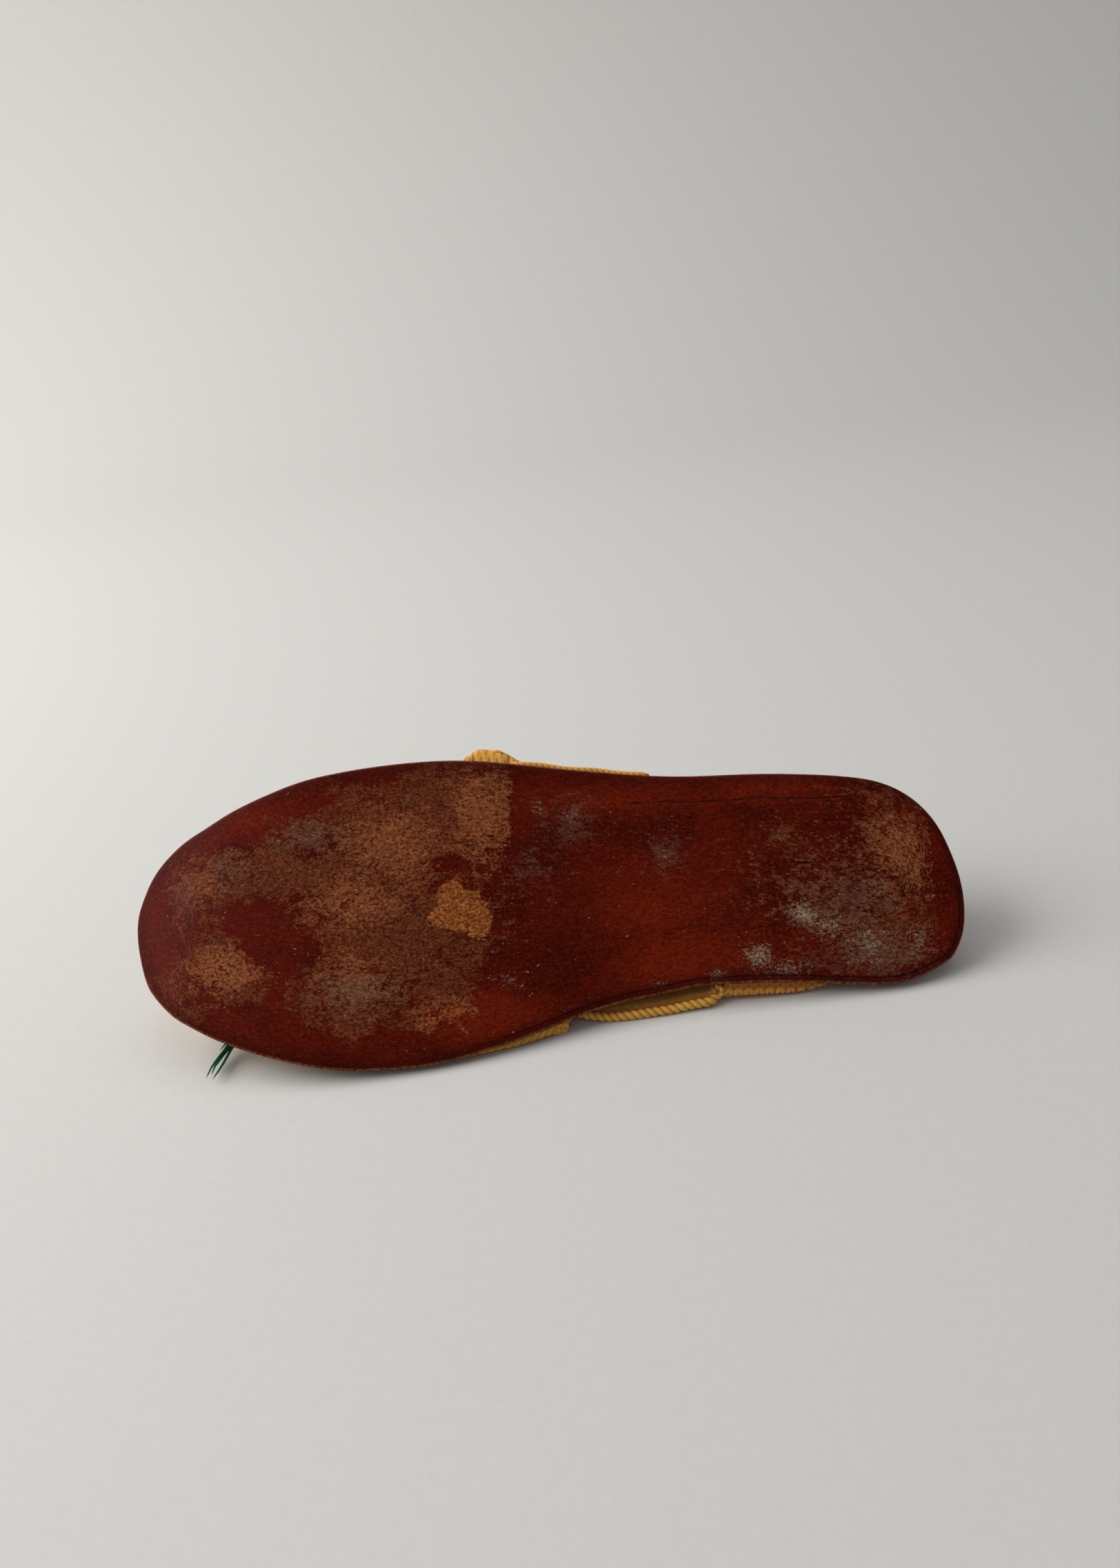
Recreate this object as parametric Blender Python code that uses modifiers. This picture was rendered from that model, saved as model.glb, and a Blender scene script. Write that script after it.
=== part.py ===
"""Knit sandal, the left shoe, lying on its arch side. Metres, Z up, sole facing minus Y, toe at minus X."""
import math

import bmesh
import bpy
import numpy as np
from mathutils import Matrix, Vector

for old in list(bpy.data.objects):
    bpy.data.objects.remove(old)

# Driving sizes, in metres
SOLE_LENGTH = 0.260
SOLE_THICK = 0.0040
TOE_SPRING = 0.0100
ARCH_LIFT = 0.0025
KNIT_THICK = 0.0026
GAP = 0.0003
VAMP_INSET = 0.0050
VAMP_REAR = 0.505
VAMP_HEIGHT = 0.0360
STRAP_HEIGHT = 0.0240
CORD_RADIUS = 0.0028
PAD_THICK = 0.0012
PAD_INSET = 0.0085
PAD_REACH = 0.362
ROSETTE_RADIUS = 0.0145
ROSETTE_HEIGHT = 0.0078
BEAD_RADIUS = 0.0085
BARREL_RADIUS = 0.0040
BARREL_HALF = 0.0040
BEAD_BORE = 0.0012
LOCK_RADIUS = 0.0021
LEAN_DEG = 50.0

# Outline: share of the length from the heel, then lateral and medial half widths as shares of it
OUTLINE = [
    (0.0000, 0.0000, 0.0000), (0.0075, 0.0506, 0.0490), (0.0140, 0.0730, 0.0614),
    (0.0220, 0.0913, 0.0747), (0.0470, 0.1228, 0.0896), (0.0720, 0.1394, 0.1004),
    (0.0970, 0.1485, 0.1054), (0.1220, 0.1527, 0.1054), (0.1640, 0.1568, 0.1029),
    (0.2470, 0.1602, 0.0988), (0.3160, 0.1602, 0.0988), (0.3630, 0.1627, 0.1071),
    (0.4070, 0.1668, 0.1145), (0.4480, 0.1710, 0.1245), (0.4960, 0.1759, 0.1419),
    (0.5460, 0.1817, 0.1602), (0.5790, 0.1851, 0.1693), (0.6200, 0.1867, 0.1801),
    (0.6620, 0.1851, 0.1859), (0.7200, 0.1793, 0.1876), (0.7620, 0.1726, 0.1842),
    (0.7950, 0.1660, 0.1776), (0.8450, 0.1485, 0.1635), (0.8950, 0.1261, 0.1444),
    (0.9190, 0.1112, 0.1320), (0.9440, 0.0971, 0.1178), (0.9640, 0.0797, 0.0988),
    (0.9790, 0.0622, 0.0813), (0.9890, 0.0440, 0.0564), (0.9940, 0.0290, 0.0398),
    (1.0000, 0.0000, 0.0000),
]

# Vamp: share of the length, height as a share of VAMP_HEIGHT, crest offset as a share of the length,
# then how square the lateral side is and how flat the side that lies on the floor is
VAMP = [
    (0.500, 1.00, 0.003, 3.4, 1.12), (0.560, 1.00, 0.003, 2.9, 1.12), (0.620, 0.98, 0.003, 2.5, 1.12),
    (0.700, 0.90, 0.002, 2.3, 1.18), (0.780, 0.77, 0.001, 2.2, 1.36), (0.860, 0.63, 0.000, 2.1, 1.60),
    (0.920, 0.51, 0.000, 2.0, 1.80), (0.980, 0.40, 0.000, 2.0, 2.00),
]

# Strap, side panel and heel band: share of the way from the vamp (0) to the heel's end (1), then inset
# and height of the low edge, of the belly between, and of the collar edge, as shares of STRAP_HEIGHT
STRAP_LATERAL = [
    (0.000, 0.42, 0.34, 0.36, 0.77, 0.55, 1.20), (0.120, 0.50, 0.30, 0.52, 0.71, 0.80, 1.12),
    (0.270, 0.45, 0.24, 0.52, 0.63, 0.92, 1.04), (0.350, 0.30, 0.16, 0.42, 0.57, 0.85, 0.99),
    (0.375, 0.19, 0.00, 0.28, 0.50, 0.80, 0.97), (0.480, 0.19, 0.00, 0.26, 0.50, 0.72, 0.95),
    (0.575, 0.19, 0.00, 0.26, 0.48, 0.66, 0.93), (0.610, 0.22, 0.17, 0.28, 0.53, 0.62, 0.91),
    (0.800, 0.30, 0.16, 0.34, 0.46, 0.58, 0.76), (1.000, 0.38, 0.12, 0.40, 0.33, 0.58, 0.54),
]
STRAP_MEDIAL = [
    (0.000, 0.20, 0.20, 0.35, 0.45, 1.05, 0.78), (0.100, -0.08, 0.04, 0.18, 0.28, 1.00, 0.80),
    (0.220, -0.15, 0.00, 0.16, 0.20, 0.98, 0.80), (0.340, -0.17, 0.00, 0.14, 0.20, 1.00, 0.80),
    (0.375, 0.04, 0.00, -0.42, 0.11, 1.00, 0.77), (0.480, 0.04, 0.00, -0.36, 0.08, 0.98, 0.72),
    (0.575, 0.08, 0.00, -0.14, 0.10, 0.94, 0.70), (0.610, 0.20, 0.09, 0.22, 0.22, 0.92, 0.68),
    (0.720, 0.28, 0.09, 0.38, 0.26, 0.88, 0.62), (0.850, 0.35, 0.10, 0.42, 0.30, 0.70, 0.54),
    (1.000, 0.38, 0.12, 0.40, 0.33, 0.58, 0.54),
]

# Section angles in degrees, from the lateral foot; the strap joins at the middle six of each side
LATERAL_ANGLES = [0, 7, 14, 22, 31, 41, 52, 62, 71, 80, 90]
MEDIAL_ANGLES = [0, 12, 20, 27, 34, 41, 48, 56, 65, 74, 82]
lateral_first = 1
join_cells = 5
medial_first = 2

# Locks of the tassel: (share of the length, section angle) along each, then the thickness share
LOCKS = [
    ([(0.590, 34), (0.640, 31), (0.700, 29), (0.760, 28), (0.820, 27)], 1.00),
    ([(0.590, 33), (0.640, 25), (0.700, 21), (0.770, 19), (0.845, 18)], 1.00),
    ([(0.592, 35), (0.630, 37), (0.680, 36), (0.740, 38), (0.800, 38)], 0.90),
    ([(0.588, 32), (0.620, 20), (0.670, 14), (0.720, 12)], 0.90),
    ([(0.592, 35), (0.660, 37), (0.720, 42), (0.765, 58), (0.795, 84), (0.820, 112), (0.850, 138),
      (0.872, 157)], 0.85),
]


def curve(table, column, x):
    """The table's column at x, through its points, smooth and without overshoot."""
    xs = [row[0] for row in table]
    ys = [row[column] for row in table]
    x = min(max(x, xs[0]), xs[-1])
    i = max(j for j in range(len(xs) - 1) if xs[j] <= x)
    slopes = [(ys[j + 1] - ys[j]) / (xs[j + 1] - xs[j]) for j in range(len(xs) - 1)]

    def tangent(j):
        if j in (0, len(xs) - 1):
            return slopes[min(j, len(slopes) - 1)]
        a, b = slopes[j - 1], slopes[j]
        return 2 * a * b / (a + b) if a * b > 0 else 0.0

    h = xs[i + 1] - xs[i]
    s = (x - xs[i]) / h
    return (
        ys[i] * (2 * s**3 - 3 * s**2 + 1) + tangent(i) * h * (s**3 - 2 * s**2 + s)
        + ys[i + 1] * (3 * s**2 - 2 * s**3) + tangent(i + 1) * h * (s**3 - s**2)
    )


def turned(share):
    return math.acos(max(-1.0, min(1.0, 1 - 2 * share)))


ROUND_OUTLINE = [(turned(t), lateral, medial) for t, lateral, medial in OUTLINE]


def half_width(share, side):
    """Distance from the long axis to the edge, side 1 medial, side -1 lateral."""
    return curve(ROUND_OUTLINE, 2 if side > 0 else 1, turned(share)) * SOLE_LENGTH


def sole_lift(share):
    arch = math.exp(-(((share - 0.40) / 0.13) ** 2)) * ARCH_LIFT
    toe = max(0.0, (share - 0.72) / 0.28) ** 2.2 * TOE_SPRING
    return arch + toe


def sole_top(x):
    return sole_lift(0.5 - x / SOLE_LENGTH) + SOLE_THICK


def edge_loop(count):
    """Points of the outline: lateral side from toe to heel, then medial side from heel to toe."""
    points = []
    for k in range(2 * count):
        side = -1 if k < count else 1
        u = math.pi * (1 - k / count) if side < 0 else math.pi * (k - count) / count
        share = (1 - math.cos(u)) / 2
        points.append(Vector((SOLE_LENGTH * (0.5 - share), side * half_width(share, side), 0)))
    return points


EDGE = edge_loop(180)
INWARD = []
for k, point in enumerate(EDGE):
    along = EDGE[(k + 1) % len(EDGE)] - EDGE[k - 1]
    INWARD.append(Vector((-along.y, along.x, 0)).normalized())


def inset_rows(inset):
    """The outline moved inward, as (share, half width) rows of each side."""
    rows = {-1: [], 1: []}
    for k, (point, inward) in enumerate(zip(EDGE, INWARD)):
        moved = point + inward * inset
        rows[-1 if k < 180 else 1].append((0.5 - moved.x / SOLE_LENGTH, moved.y))
    return {side: sorted(found) for side, found in rows.items()}


def inset_y(rows, share, side):
    return float(np.interp(share, [r[0] for r in rows[side]], [r[1] for r in rows[side]]))


VAMP_FOOT = inset_rows(VAMP_INSET)
PAD_EDGE = inset_rows(PAD_INSET)
VAMP_TOE = 1 - VAMP_INSET / SOLE_LENGTH


def vamp_point(share, degrees):
    """A point of the vamp's middle surface, at a section angle from the lateral foot over to the medial."""
    close = math.sqrt(max(0.0, 1 - max(0.0, (share - 0.86) / (VAMP_TOE - 0.86)) ** 2))
    lateral = inset_y(VAMP_FOOT, share, -1)
    medial = inset_y(VAMP_FOOT, share, 1)
    crest = curve(VAMP, 2, share) * SOLE_LENGTH * close
    if share > 0.9:
        crest += (lateral + medial) / 2 * (1 - close)
    height = curve(VAMP, 1, share) * VAMP_HEIGHT * close
    power = 2 / curve(VAMP, 3 if degrees <= 90 else 4, share)
    angle = math.radians(degrees)
    across = abs(math.cos(angle)) ** power
    foot = lateral if degrees <= 90 else medial
    x = SOLE_LENGTH * (0.5 - share)
    return Vector((x, crest + (foot - crest) * across, sole_top(x) + GAP + height * math.sin(angle) ** power))


def vamp_outer(share, degrees, away):
    """A point this far out from the vamp's middle surface."""
    degrees = min(max(degrees, 2.0), 178.0)
    here = vamp_point(share, degrees)
    along = vamp_point(share + 0.004, degrees) - vamp_point(share - 0.004, degrees)
    across = vamp_point(share, degrees + 1.5) - vamp_point(share, degrees - 1.5)
    normal = across.cross(along).normalized()
    if normal.z < 0:
        normal = -normal
    return here + normal * away


def angles():
    return LATERAL_ANGLES + [180 - a for a in reversed(MEDIAL_ANGLES)]


def collar_edge(way):
    """Edge point and inward direction, way 0 at the vamp's lateral corner, 1 at the heel, 2 medial."""
    rear = SOLE_LENGTH * (0.5 - VAMP_REAR)
    run = [k for k in range(len(EDGE)) if EDGE[k].x >= rear]
    lengths = [0.0]
    for a, b in zip(run, run[1:]):
        lengths.append(lengths[-1] + (EDGE[b] - EDGE[a]).length)
    heel = lengths[run.index(180)]
    wanted = heel * way if way <= 1 else heel + (lengths[-1] - heel) * (way - 1)
    place = [float(np.interp(wanted, lengths, [EDGE[k][i] for k in run])) for i in (0, 1)]
    inward = Vector()
    for ease in (-0.014, -0.007, 0.0, 0.007, 0.014):
        eased = [float(np.interp(wanted + ease, lengths, [INWARD[k][i] for k in run])) for i in (0, 1)]
        inward += Vector((*eased, 0))
    return Vector((*place, 0)), inward.normalized()


def strap_point(way, across):
    """A point of the strap's middle surface: across 0 is its low edge, 1 its collar edge."""
    table, local = (STRAP_LATERAL, way) if way <= 1 else (STRAP_MEDIAL, 2 - way)
    place, inward = collar_edge(way)
    weights = ((1 - across) ** 2, 2 * across * (1 - across), across**2)
    inset = sum(curve(table, c, local) * w for c, w in zip((1, 3, 5), weights)) * STRAP_HEIGHT
    height = sum(curve(table, c, local) * w for c, w in zip((2, 4, 6), weights)) * STRAP_HEIGHT
    point = place + inward * inset
    point.z = sole_top(point.x) + GAP + height
    return point


def object_from(name, bm, colour, rough):
    bmesh.ops.remove_doubles(bm, verts=bm.verts, dist=1e-6)
    bmesh.ops.dissolve_degenerate(bm, edges=bm.edges, dist=1e-7)
    bmesh.ops.recalc_face_normals(bm, faces=bm.faces)
    mesh = bpy.data.meshes.new(name)
    bm.to_mesh(mesh)
    bm.free()
    obj = bpy.data.objects.new(name, mesh)
    parts.objects.link(obj)
    material = bpy.data.materials.new(name + "_material")
    material.use_nodes = True
    shader = material.node_tree.nodes["Principled BSDF"]
    shader.inputs["Base Color"].default_value = (*colour, 1)
    shader.inputs["Roughness"].default_value = rough
    mesh.materials.append(material)
    return obj


def bridge_rows(bm, rows, closed=False):
    """Quads between each row of points and the next."""
    made = [[bm.verts.new(p) for p in row] for row in rows]
    for a, b in zip(made, made[1:]):
        span = len(a) if closed else len(a) - 1
        for j in range(span):
            k = (j + 1) % len(a)
            bm.faces.new((a[j], a[k], b[k], b[j]))
    return made


def slab(name, shares, edge_y, bottom, top, colour, rough, cells=4):
    """A flat body lofted from sections across the shoe, its ends capped where they aren't points."""
    bm = bmesh.new()
    rows = []
    for share in shares:
        x = SOLE_LENGTH * (0.5 - share)
        low, high = edge_y(share, -1), edge_y(share, 1)
        ys = [low + (high - low) * k / cells for k in range(cells + 1)]
        rows.append([Vector((x, y, bottom(x))) for y in ys] + [Vector((x, y, top(x))) for y in reversed(ys)])
    made = bridge_rows(bm, rows, closed=True)
    for end in (made[0], made[-1]):
        bm.faces.new(end)
    return object_from(name, bm, colour, rough)


def tube(bm, path, radii, sides=8):
    """A closed tube along the path, its frame carried from ring to ring."""
    side = Vector((0.1, 0.3, 1)).normalized()
    rings = []
    for k, point in enumerate(path):
        along = (path[min(k + 1, len(path) - 1)] - path[max(k - 1, 0)]).normalized()
        side = (side - along * side.dot(along)).normalized()
        other = along.cross(side)
        turn = [2 * math.pi * j / sides for j in range(sides)]
        rings.append([point + (side * math.cos(a) + other * math.sin(a)) * radii[k] for a in turn])
    made = bridge_rows(bm, rings, closed=True)
    bm.faces.new(made[0])
    bm.faces.new(made[-1])


def spline(points, steps):
    """A smooth path through the points."""
    ends = [points[0] * 2 - points[1]] + list(points) + [points[-1] * 2 - points[-2]]
    path = []
    for i in range(1, len(ends) - 2):
        a, b, c, d = ends[i - 1 : i + 3]
        for k in range(steps):
            s = k / steps
            path.append(
                (b * 2 + (c - a) * s + (a * 2 - b * 5 + c * 4 - d) * s**2 + (b * 3 - a - c * 3 + d) * s**3) / 2
            )
    return path + [points[-1]]


def cylinder_bead(name, centre, axis, profile, colour, sides=20):
    """A bead turned about its axis, with a bore: profile gives (along, radius) pairs of the outside."""
    bm = bmesh.new()
    axis = axis.normalized()
    side = axis.orthogonal().normalized()
    other = axis.cross(side)
    bore = [(profile[-1][0], BEAD_BORE), (profile[0][0], BEAD_BORE)]
    rows = []
    for j in range(sides):
        a = 2 * math.pi * j / sides
        out = side * math.cos(a) + other * math.sin(a)
        rows.append([centre + axis * along + out * radius for along, radius in profile + bore])
    bridge_rows(bm, rows + [rows[0]], closed=True)
    return object_from(name, bm, colour, 0.55)


parts = bpy.data.collections.new("parts")
cutters = bpy.data.collections.new("cutters")
for collection in (parts, cutters):
    bpy.context.scene.collection.children.link(collection)

# Outsole and heel pad
stations = [(1 - math.cos(math.pi * k / 56)) / 2 for k in range(57)]
sole = slab(
    "sole", stations, lambda t, side: side * half_width(t, side), lambda x: sole_top(x) - SOLE_THICK, sole_top,
    (0.09, 0.015, 0.008), 0.5,
)
pad_start = PAD_INSET / SOLE_LENGTH
pad_shares = [pad_start + (PAD_REACH - pad_start) * (1 - math.cos(math.pi * k / 48)) for k in range(25)]
heel_pad = slab(
    "heel_pad", pad_shares, lambda t, side: inset_y(PAD_EDGE, t, side), lambda x: sole_top(x) + GAP,
    lambda x: sole_top(x) + GAP + PAD_THICK, (0.35, 0.30, 0.22), 0.9, cells=3,
)

# Knitted upper: vamp, then one strap from its lateral corner round the heel to its medial corner
sheet = bmesh.new()
VAMP_ROWS = 24
rows = []
for k in range(VAMP_ROWS + 1):
    share = VAMP_TOE - (VAMP_TOE - VAMP_REAR) * (1 - math.cos(math.pi / 2 * k / VAMP_ROWS))
    rows.append([vamp_point(share, degrees) for degrees in angles()])
bridge_rows(sheet, rows)
lateral_join = rows[-1][lateral_first : lateral_first + join_cells + 1]
last = len(rows[-1]) - 1
medial_join = [rows[-1][last - medial_first - j] for j in range(join_cells + 1)]
STRAP_ROWS = 72
strap_rows = []
for k in range(STRAP_ROWS + 1):
    way = 2 * k / STRAP_ROWS
    near = max(0.0, 1 - min(way, 2 - way) / 0.16)
    held = near * near * (3 - 2 * near)
    join = lateral_join if way < 1 else medial_join
    shift = [join[j] - strap_point(0.0 if way < 1 else 2.0, j / join_cells) for j in range(join_cells + 1)]
    strap_rows.append([strap_point(way, j / join_cells) + shift[j] * held for j in range(join_cells + 1)])
bridge_rows(sheet, strap_rows)
upper = object_from("upper", sheet, (0.75, 0.42, 0.08), 0.95)
bpy.context.view_layer.objects.active = upper
solidify = upper.modifiers.new("wall", "SOLIDIFY")
solidify.thickness = KNIT_THICK
solidify.offset = 0.0
bpy.context.view_layer.update()
solid = bmesh.new()
solid.from_object(upper, bpy.context.evaluated_depsgraph_get())
upper.modifiers.remove(solidify)
for vert in solid.verts:
    vert.co.z = max(vert.co.z, sole_top(vert.co.x) + GAP)
bmesh.ops.recalc_face_normals(solid, faces=solid.faces)
solid.to_mesh(upper.data)
solid.free()

# Wrapped rope along the collar edge
cord_path = []
CORD_FROM, CORD_ROWS = 3, 69
for k in range(CORD_FROM, CORD_ROWS + 1):
    high, below = strap_rows[k][-1], strap_rows[k][-2]
    along = (strap_rows[k + 1][-1] - strap_rows[k - 1][-1]).normalized()
    rise = (high - below) - along * (high - below).dot(along)
    cord_path.append(high + rise.normalized() * (CORD_RADIUS + GAP + 0.0002))
cord = bmesh.new()
ends = {0: 0.55, 1: 0.85, len(cord_path) - 2: 0.85, len(cord_path) - 1: 0.55}
tube(cord, cord_path, [CORD_RADIUS * ends.get(k, 1.0) for k in range(len(cord_path))], 10)
collar_cord = object_from("collar_cord", cord, (0.70, 0.36, 0.08), 0.95)

# Rosette on the vamp
ROSETTE_AT = (0.672, 76.0)
rosette = bmesh.new()
spin = 40
across_rate = (vamp_point(ROSETTE_AT[0], 82) - vamp_point(ROSETTE_AT[0], 70)).length / 12


def rosette_point(ring, turn, away):
    radius = ROSETTE_RADIUS * ring * (1 + 0.10 * ring * math.cos(8 * turn))
    share = ROSETTE_AT[0] - radius * math.cos(turn) / SOLE_LENGTH
    degrees = ROSETTE_AT[1] + radius * math.sin(turn) / across_rate
    return vamp_outer(share, degrees, KNIT_THICK / 2 + 2 * GAP + away)


turns = [2 * math.pi * k / spin for k in range(spin)]
profile = [(1.0, 0.0), (1.0, 0.35), (0.93, 0.62), (0.78, 0.86), (0.55, 1.0), (0.28, 0.86)]
dome = [[rosette_point(ring, a, up * ROSETTE_HEIGHT) for a in turns] for ring, up in profile]
made = bridge_rows(rosette, dome, closed=True)
middle = rosette.verts.new(rosette_point(0.0, 0.0, 0.80 * ROSETTE_HEIGHT))
under = [rosette.verts.new(rosette_point(0.5, a, 0.0)) for a in turns]
bottom = rosette.verts.new(rosette_point(0.0, 0.0, 0.0))
for k in range(spin):
    n = (k + 1) % spin
    rosette.faces.new((made[-1][k], made[-1][n], middle))
    rosette.faces.new((made[0][k], made[0][n], under[n], under[k]))
    rosette.faces.new((under[k], under[n], bottom))
medallion = object_from("medallion", rosette, (0.45, 0.03, 0.16), 0.9)

# Beads, threaded on the tassel
ROUND_AT = (0.572, 70.0)
round_centre = vamp_outer(*ROUND_AT, KNIT_THICK / 2 + GAP + BEAD_RADIUS * 0.96)
profile = [
    (-0.86 * BEAD_RADIUS, 0.40 * BEAD_RADIUS), (-0.62 * BEAD_RADIUS, 0.76 * BEAD_RADIUS),
    (-0.33 * BEAD_RADIUS, 0.93 * BEAD_RADIUS), (0.0, 0.97 * BEAD_RADIUS),
    (0.33 * BEAD_RADIUS, 0.93 * BEAD_RADIUS),
    (0.62 * BEAD_RADIUS, 0.76 * BEAD_RADIUS), (0.86 * BEAD_RADIUS, 0.40 * BEAD_RADIUS),
]
bead_axis = vamp_point(0.572, 75) - vamp_point(0.572, 65)
bead_round = cylinder_bead("bead_round", round_centre, bead_axis, profile, (0.50, 0.18, 0.10), 24)
barrel_centre = vamp_outer(0.535, 49.0, KNIT_THICK / 2 + GAP + BARREL_RADIUS * 1.06)
profile = [
    (-BARREL_HALF, 0.62 * BARREL_RADIUS), (-0.55 * BARREL_HALF, 0.95 * BARREL_RADIUS), (0.0, BARREL_RADIUS),
    (0.55 * BARREL_HALF, 0.95 * BARREL_RADIUS), (BARREL_HALF, 0.62 * BARREL_RADIUS),
]
bead_barrel = cylinder_bead("bead_barrel", barrel_centre, Vector((1, 0.2, 0)), profile, (0.50, 0.18, 0.10), 16)

# Green tassel: a knot, and locks that lie on the vamp, fused to one solid
lay = KNIT_THICK / 2 + GAP + 0.0003
pieces = []
knot = bmesh.new()
bmesh.ops.create_icosphere(knot, subdivisions=2, radius=1.0)
centre = vamp_outer(0.590, 34.0, lay + 0.0046)
for vert in knot.verts:
    vert.co = centre + Vector((vert.co.x * 0.0075, vert.co.y * 0.0055, vert.co.z * 0.0042))
pieces.append(object_from("lock_knot", knot, (0.02, 0.22, 0.09), 0.95))
for number, (stops, thick) in enumerate(LOCKS):
    radius = LOCK_RADIUS * thick
    path = spline([vamp_outer(share, degrees, lay + radius * 1.15) for share, degrees in stops], 6)
    if number == 4:
        last_place = path[-1]
        path += [last_place + Vector((-0.003, 0.005, -0.0012)), last_place + Vector((-0.005, 0.010, -0.0046))]
        path += [last_place + Vector((-0.0062, 0.0150, -0.0087))]
    count = len(path)
    radii = [radius * (0.55 + 0.45 * min(1.0, 3.0 * (count - 1 - k) / count)) for k in range(count)]
    lock = bmesh.new()
    tube(lock, path, radii, 8)
    pieces.append(object_from(f"lock_{number}", lock, (0.02, 0.22, 0.09), 0.95))
tassel = pieces[0]
tassel.name = "tassel"
for piece in pieces[1:]:
    parts.objects.unlink(piece)
    cutters.objects.link(piece)
    piece.hide_render = True
    piece.display_type = "WIRE"
    union = tassel.modifiers.new("join_" + piece.name, "BOOLEAN")
    union.operation = "UNION"
    union.solver = "EXACT"
    union.object = piece
cutters.hide_render = True

# Lay the shoe down on its arch side: the hull's face nearest the wanted lean that its weight holds
bpy.context.view_layer.update()
graph = bpy.context.evaluated_depsgraph_get()
resting = [sole, upper, collar_cord, medallion, bead_round, bead_barrel]
hull = bmesh.new()
for obj in resting:
    for vert in obj.data.vertices:
        hull.verts.new(vert.co)
bmesh.ops.remove_doubles(hull, verts=hull.verts, dist=1e-5)
bmesh.ops.convex_hull(hull, input=hull.verts)
bmesh.ops.recalc_face_normals(hull, faces=hull.faces)


def weight_of(obj, density):
    """Mass and mass times place of a closed mesh, from its signed tetrahedra."""
    mesh = obj.data
    mesh.calc_loop_triangles()
    mass, moment = 0.0, Vector()
    for tri in mesh.loop_triangles:
        a, b, c = (mesh.vertices[i].co for i in tri.vertices)
        share = a.dot(b.cross(c)) / 6 * density
        mass += share
        moment += (a + b + c) / 4 * share
    return mass, moment


weights = [weight_of(sole, 900), weight_of(heel_pad, 600), weight_of(upper, 450), weight_of(collar_cord, 600),
           weight_of(medallion, 500), weight_of(bead_round, 1900), weight_of(bead_barrel, 1900)]
balance = sum((w[1] for w in weights), Vector()) / sum(w[0] for w in weights)
lean = math.radians(LEAN_DEG)
wanted = Vector((0, math.cos(lean), math.sin(lean)))


def holds(face):
    """True where the weight falls inside the face."""
    foot = balance + face.normal * (face.verts[0].co - balance).dot(face.normal)
    corners = [v.co for v in face.verts]
    turns = [(b - a).cross(foot - a).dot(face.normal) for a, b in zip(corners, corners[1:] + corners[:1])]
    return min(turns) > -1e-9


bmesh.ops.dissolve_limit(hull, angle_limit=math.radians(0.5), verts=hull.verts, edges=hull.edges)
held = [face for face in hull.faces if holds(face)]
rest_face = max(held, key=lambda face: face.normal.dot(wanted))
up = -rest_face.normal
long_axis = Vector((1, 0, 0))
long_axis = (long_axis - up * long_axis.dot(up)).normalized()
side_axis = up.cross(long_axis)
hull.free()
turn = Matrix((long_axis, side_axis, up)).to_4x4()
for obj in list(parts.objects) + list(cutters.objects):
    obj.data.transform(turn)
corners = [v.co for obj in resting + [heel_pad] for v in obj.data.vertices]
low = [min(c[i] for c in corners) for i in range(3)]
high = [max(c[i] for c in corners) for i in range(3)]
shift = Matrix.Translation((-(low[0] + high[0]) / 2, -(low[1] + high[1]) / 2, -low[2]))
for obj in list(parts.objects) + list(cutters.objects):
    obj.data.transform(shift)
    obj.data.update()
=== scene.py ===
"""Looks of the knit sandal, the left shoe, lying on its arch side. Metres, Z up, sole facing minus Y, toe at minus X."""
import math

import bmesh
import bpy
import numpy as np
from mathutils import Matrix, Vector


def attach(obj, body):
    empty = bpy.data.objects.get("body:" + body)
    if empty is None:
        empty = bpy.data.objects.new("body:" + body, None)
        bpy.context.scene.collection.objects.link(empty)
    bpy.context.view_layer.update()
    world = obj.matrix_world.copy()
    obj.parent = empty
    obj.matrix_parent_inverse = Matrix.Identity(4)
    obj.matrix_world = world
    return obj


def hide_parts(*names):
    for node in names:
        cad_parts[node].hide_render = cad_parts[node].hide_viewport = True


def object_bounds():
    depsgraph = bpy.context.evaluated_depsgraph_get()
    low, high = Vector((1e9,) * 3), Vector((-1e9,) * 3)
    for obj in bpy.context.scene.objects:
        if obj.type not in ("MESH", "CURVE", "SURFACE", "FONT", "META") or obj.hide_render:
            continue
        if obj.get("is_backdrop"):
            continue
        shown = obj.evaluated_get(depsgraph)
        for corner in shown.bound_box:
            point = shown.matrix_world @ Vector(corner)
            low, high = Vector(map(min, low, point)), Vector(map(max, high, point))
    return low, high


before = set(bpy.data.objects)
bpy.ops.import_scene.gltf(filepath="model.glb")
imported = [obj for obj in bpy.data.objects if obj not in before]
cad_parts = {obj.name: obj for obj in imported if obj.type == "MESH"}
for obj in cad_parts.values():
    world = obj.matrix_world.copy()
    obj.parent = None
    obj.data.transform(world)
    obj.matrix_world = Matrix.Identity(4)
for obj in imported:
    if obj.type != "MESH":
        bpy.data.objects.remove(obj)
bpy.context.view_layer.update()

# Driving sizes, in metres
SOLE_LENGTH = 0.260
SOLE_THICK = 0.0040
TOE_SPRING = 0.0100
ARCH_LIFT = 0.0025
KNIT_THICK = 0.0026
GAP = 0.0003
VAMP_INSET = 0.0050
VAMP_REAR = 0.505
VAMP_HEIGHT = 0.0360
STRAP_HEIGHT = 0.0240
CORD_RADIUS = 0.0028
PAD_THICK = 0.0012
PAD_INSET = 0.0085
PAD_REACH = 0.362
ROSETTE_RADIUS = 0.0145
ROSETTE_HEIGHT = 0.0078
BEAD_RADIUS = 0.0085
BARREL_RADIUS = 0.0040
BARREL_HALF = 0.0040
BEAD_BORE = 0.0012
LOCK_RADIUS = 0.0021
LEAN_DEG = 50.0

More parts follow.
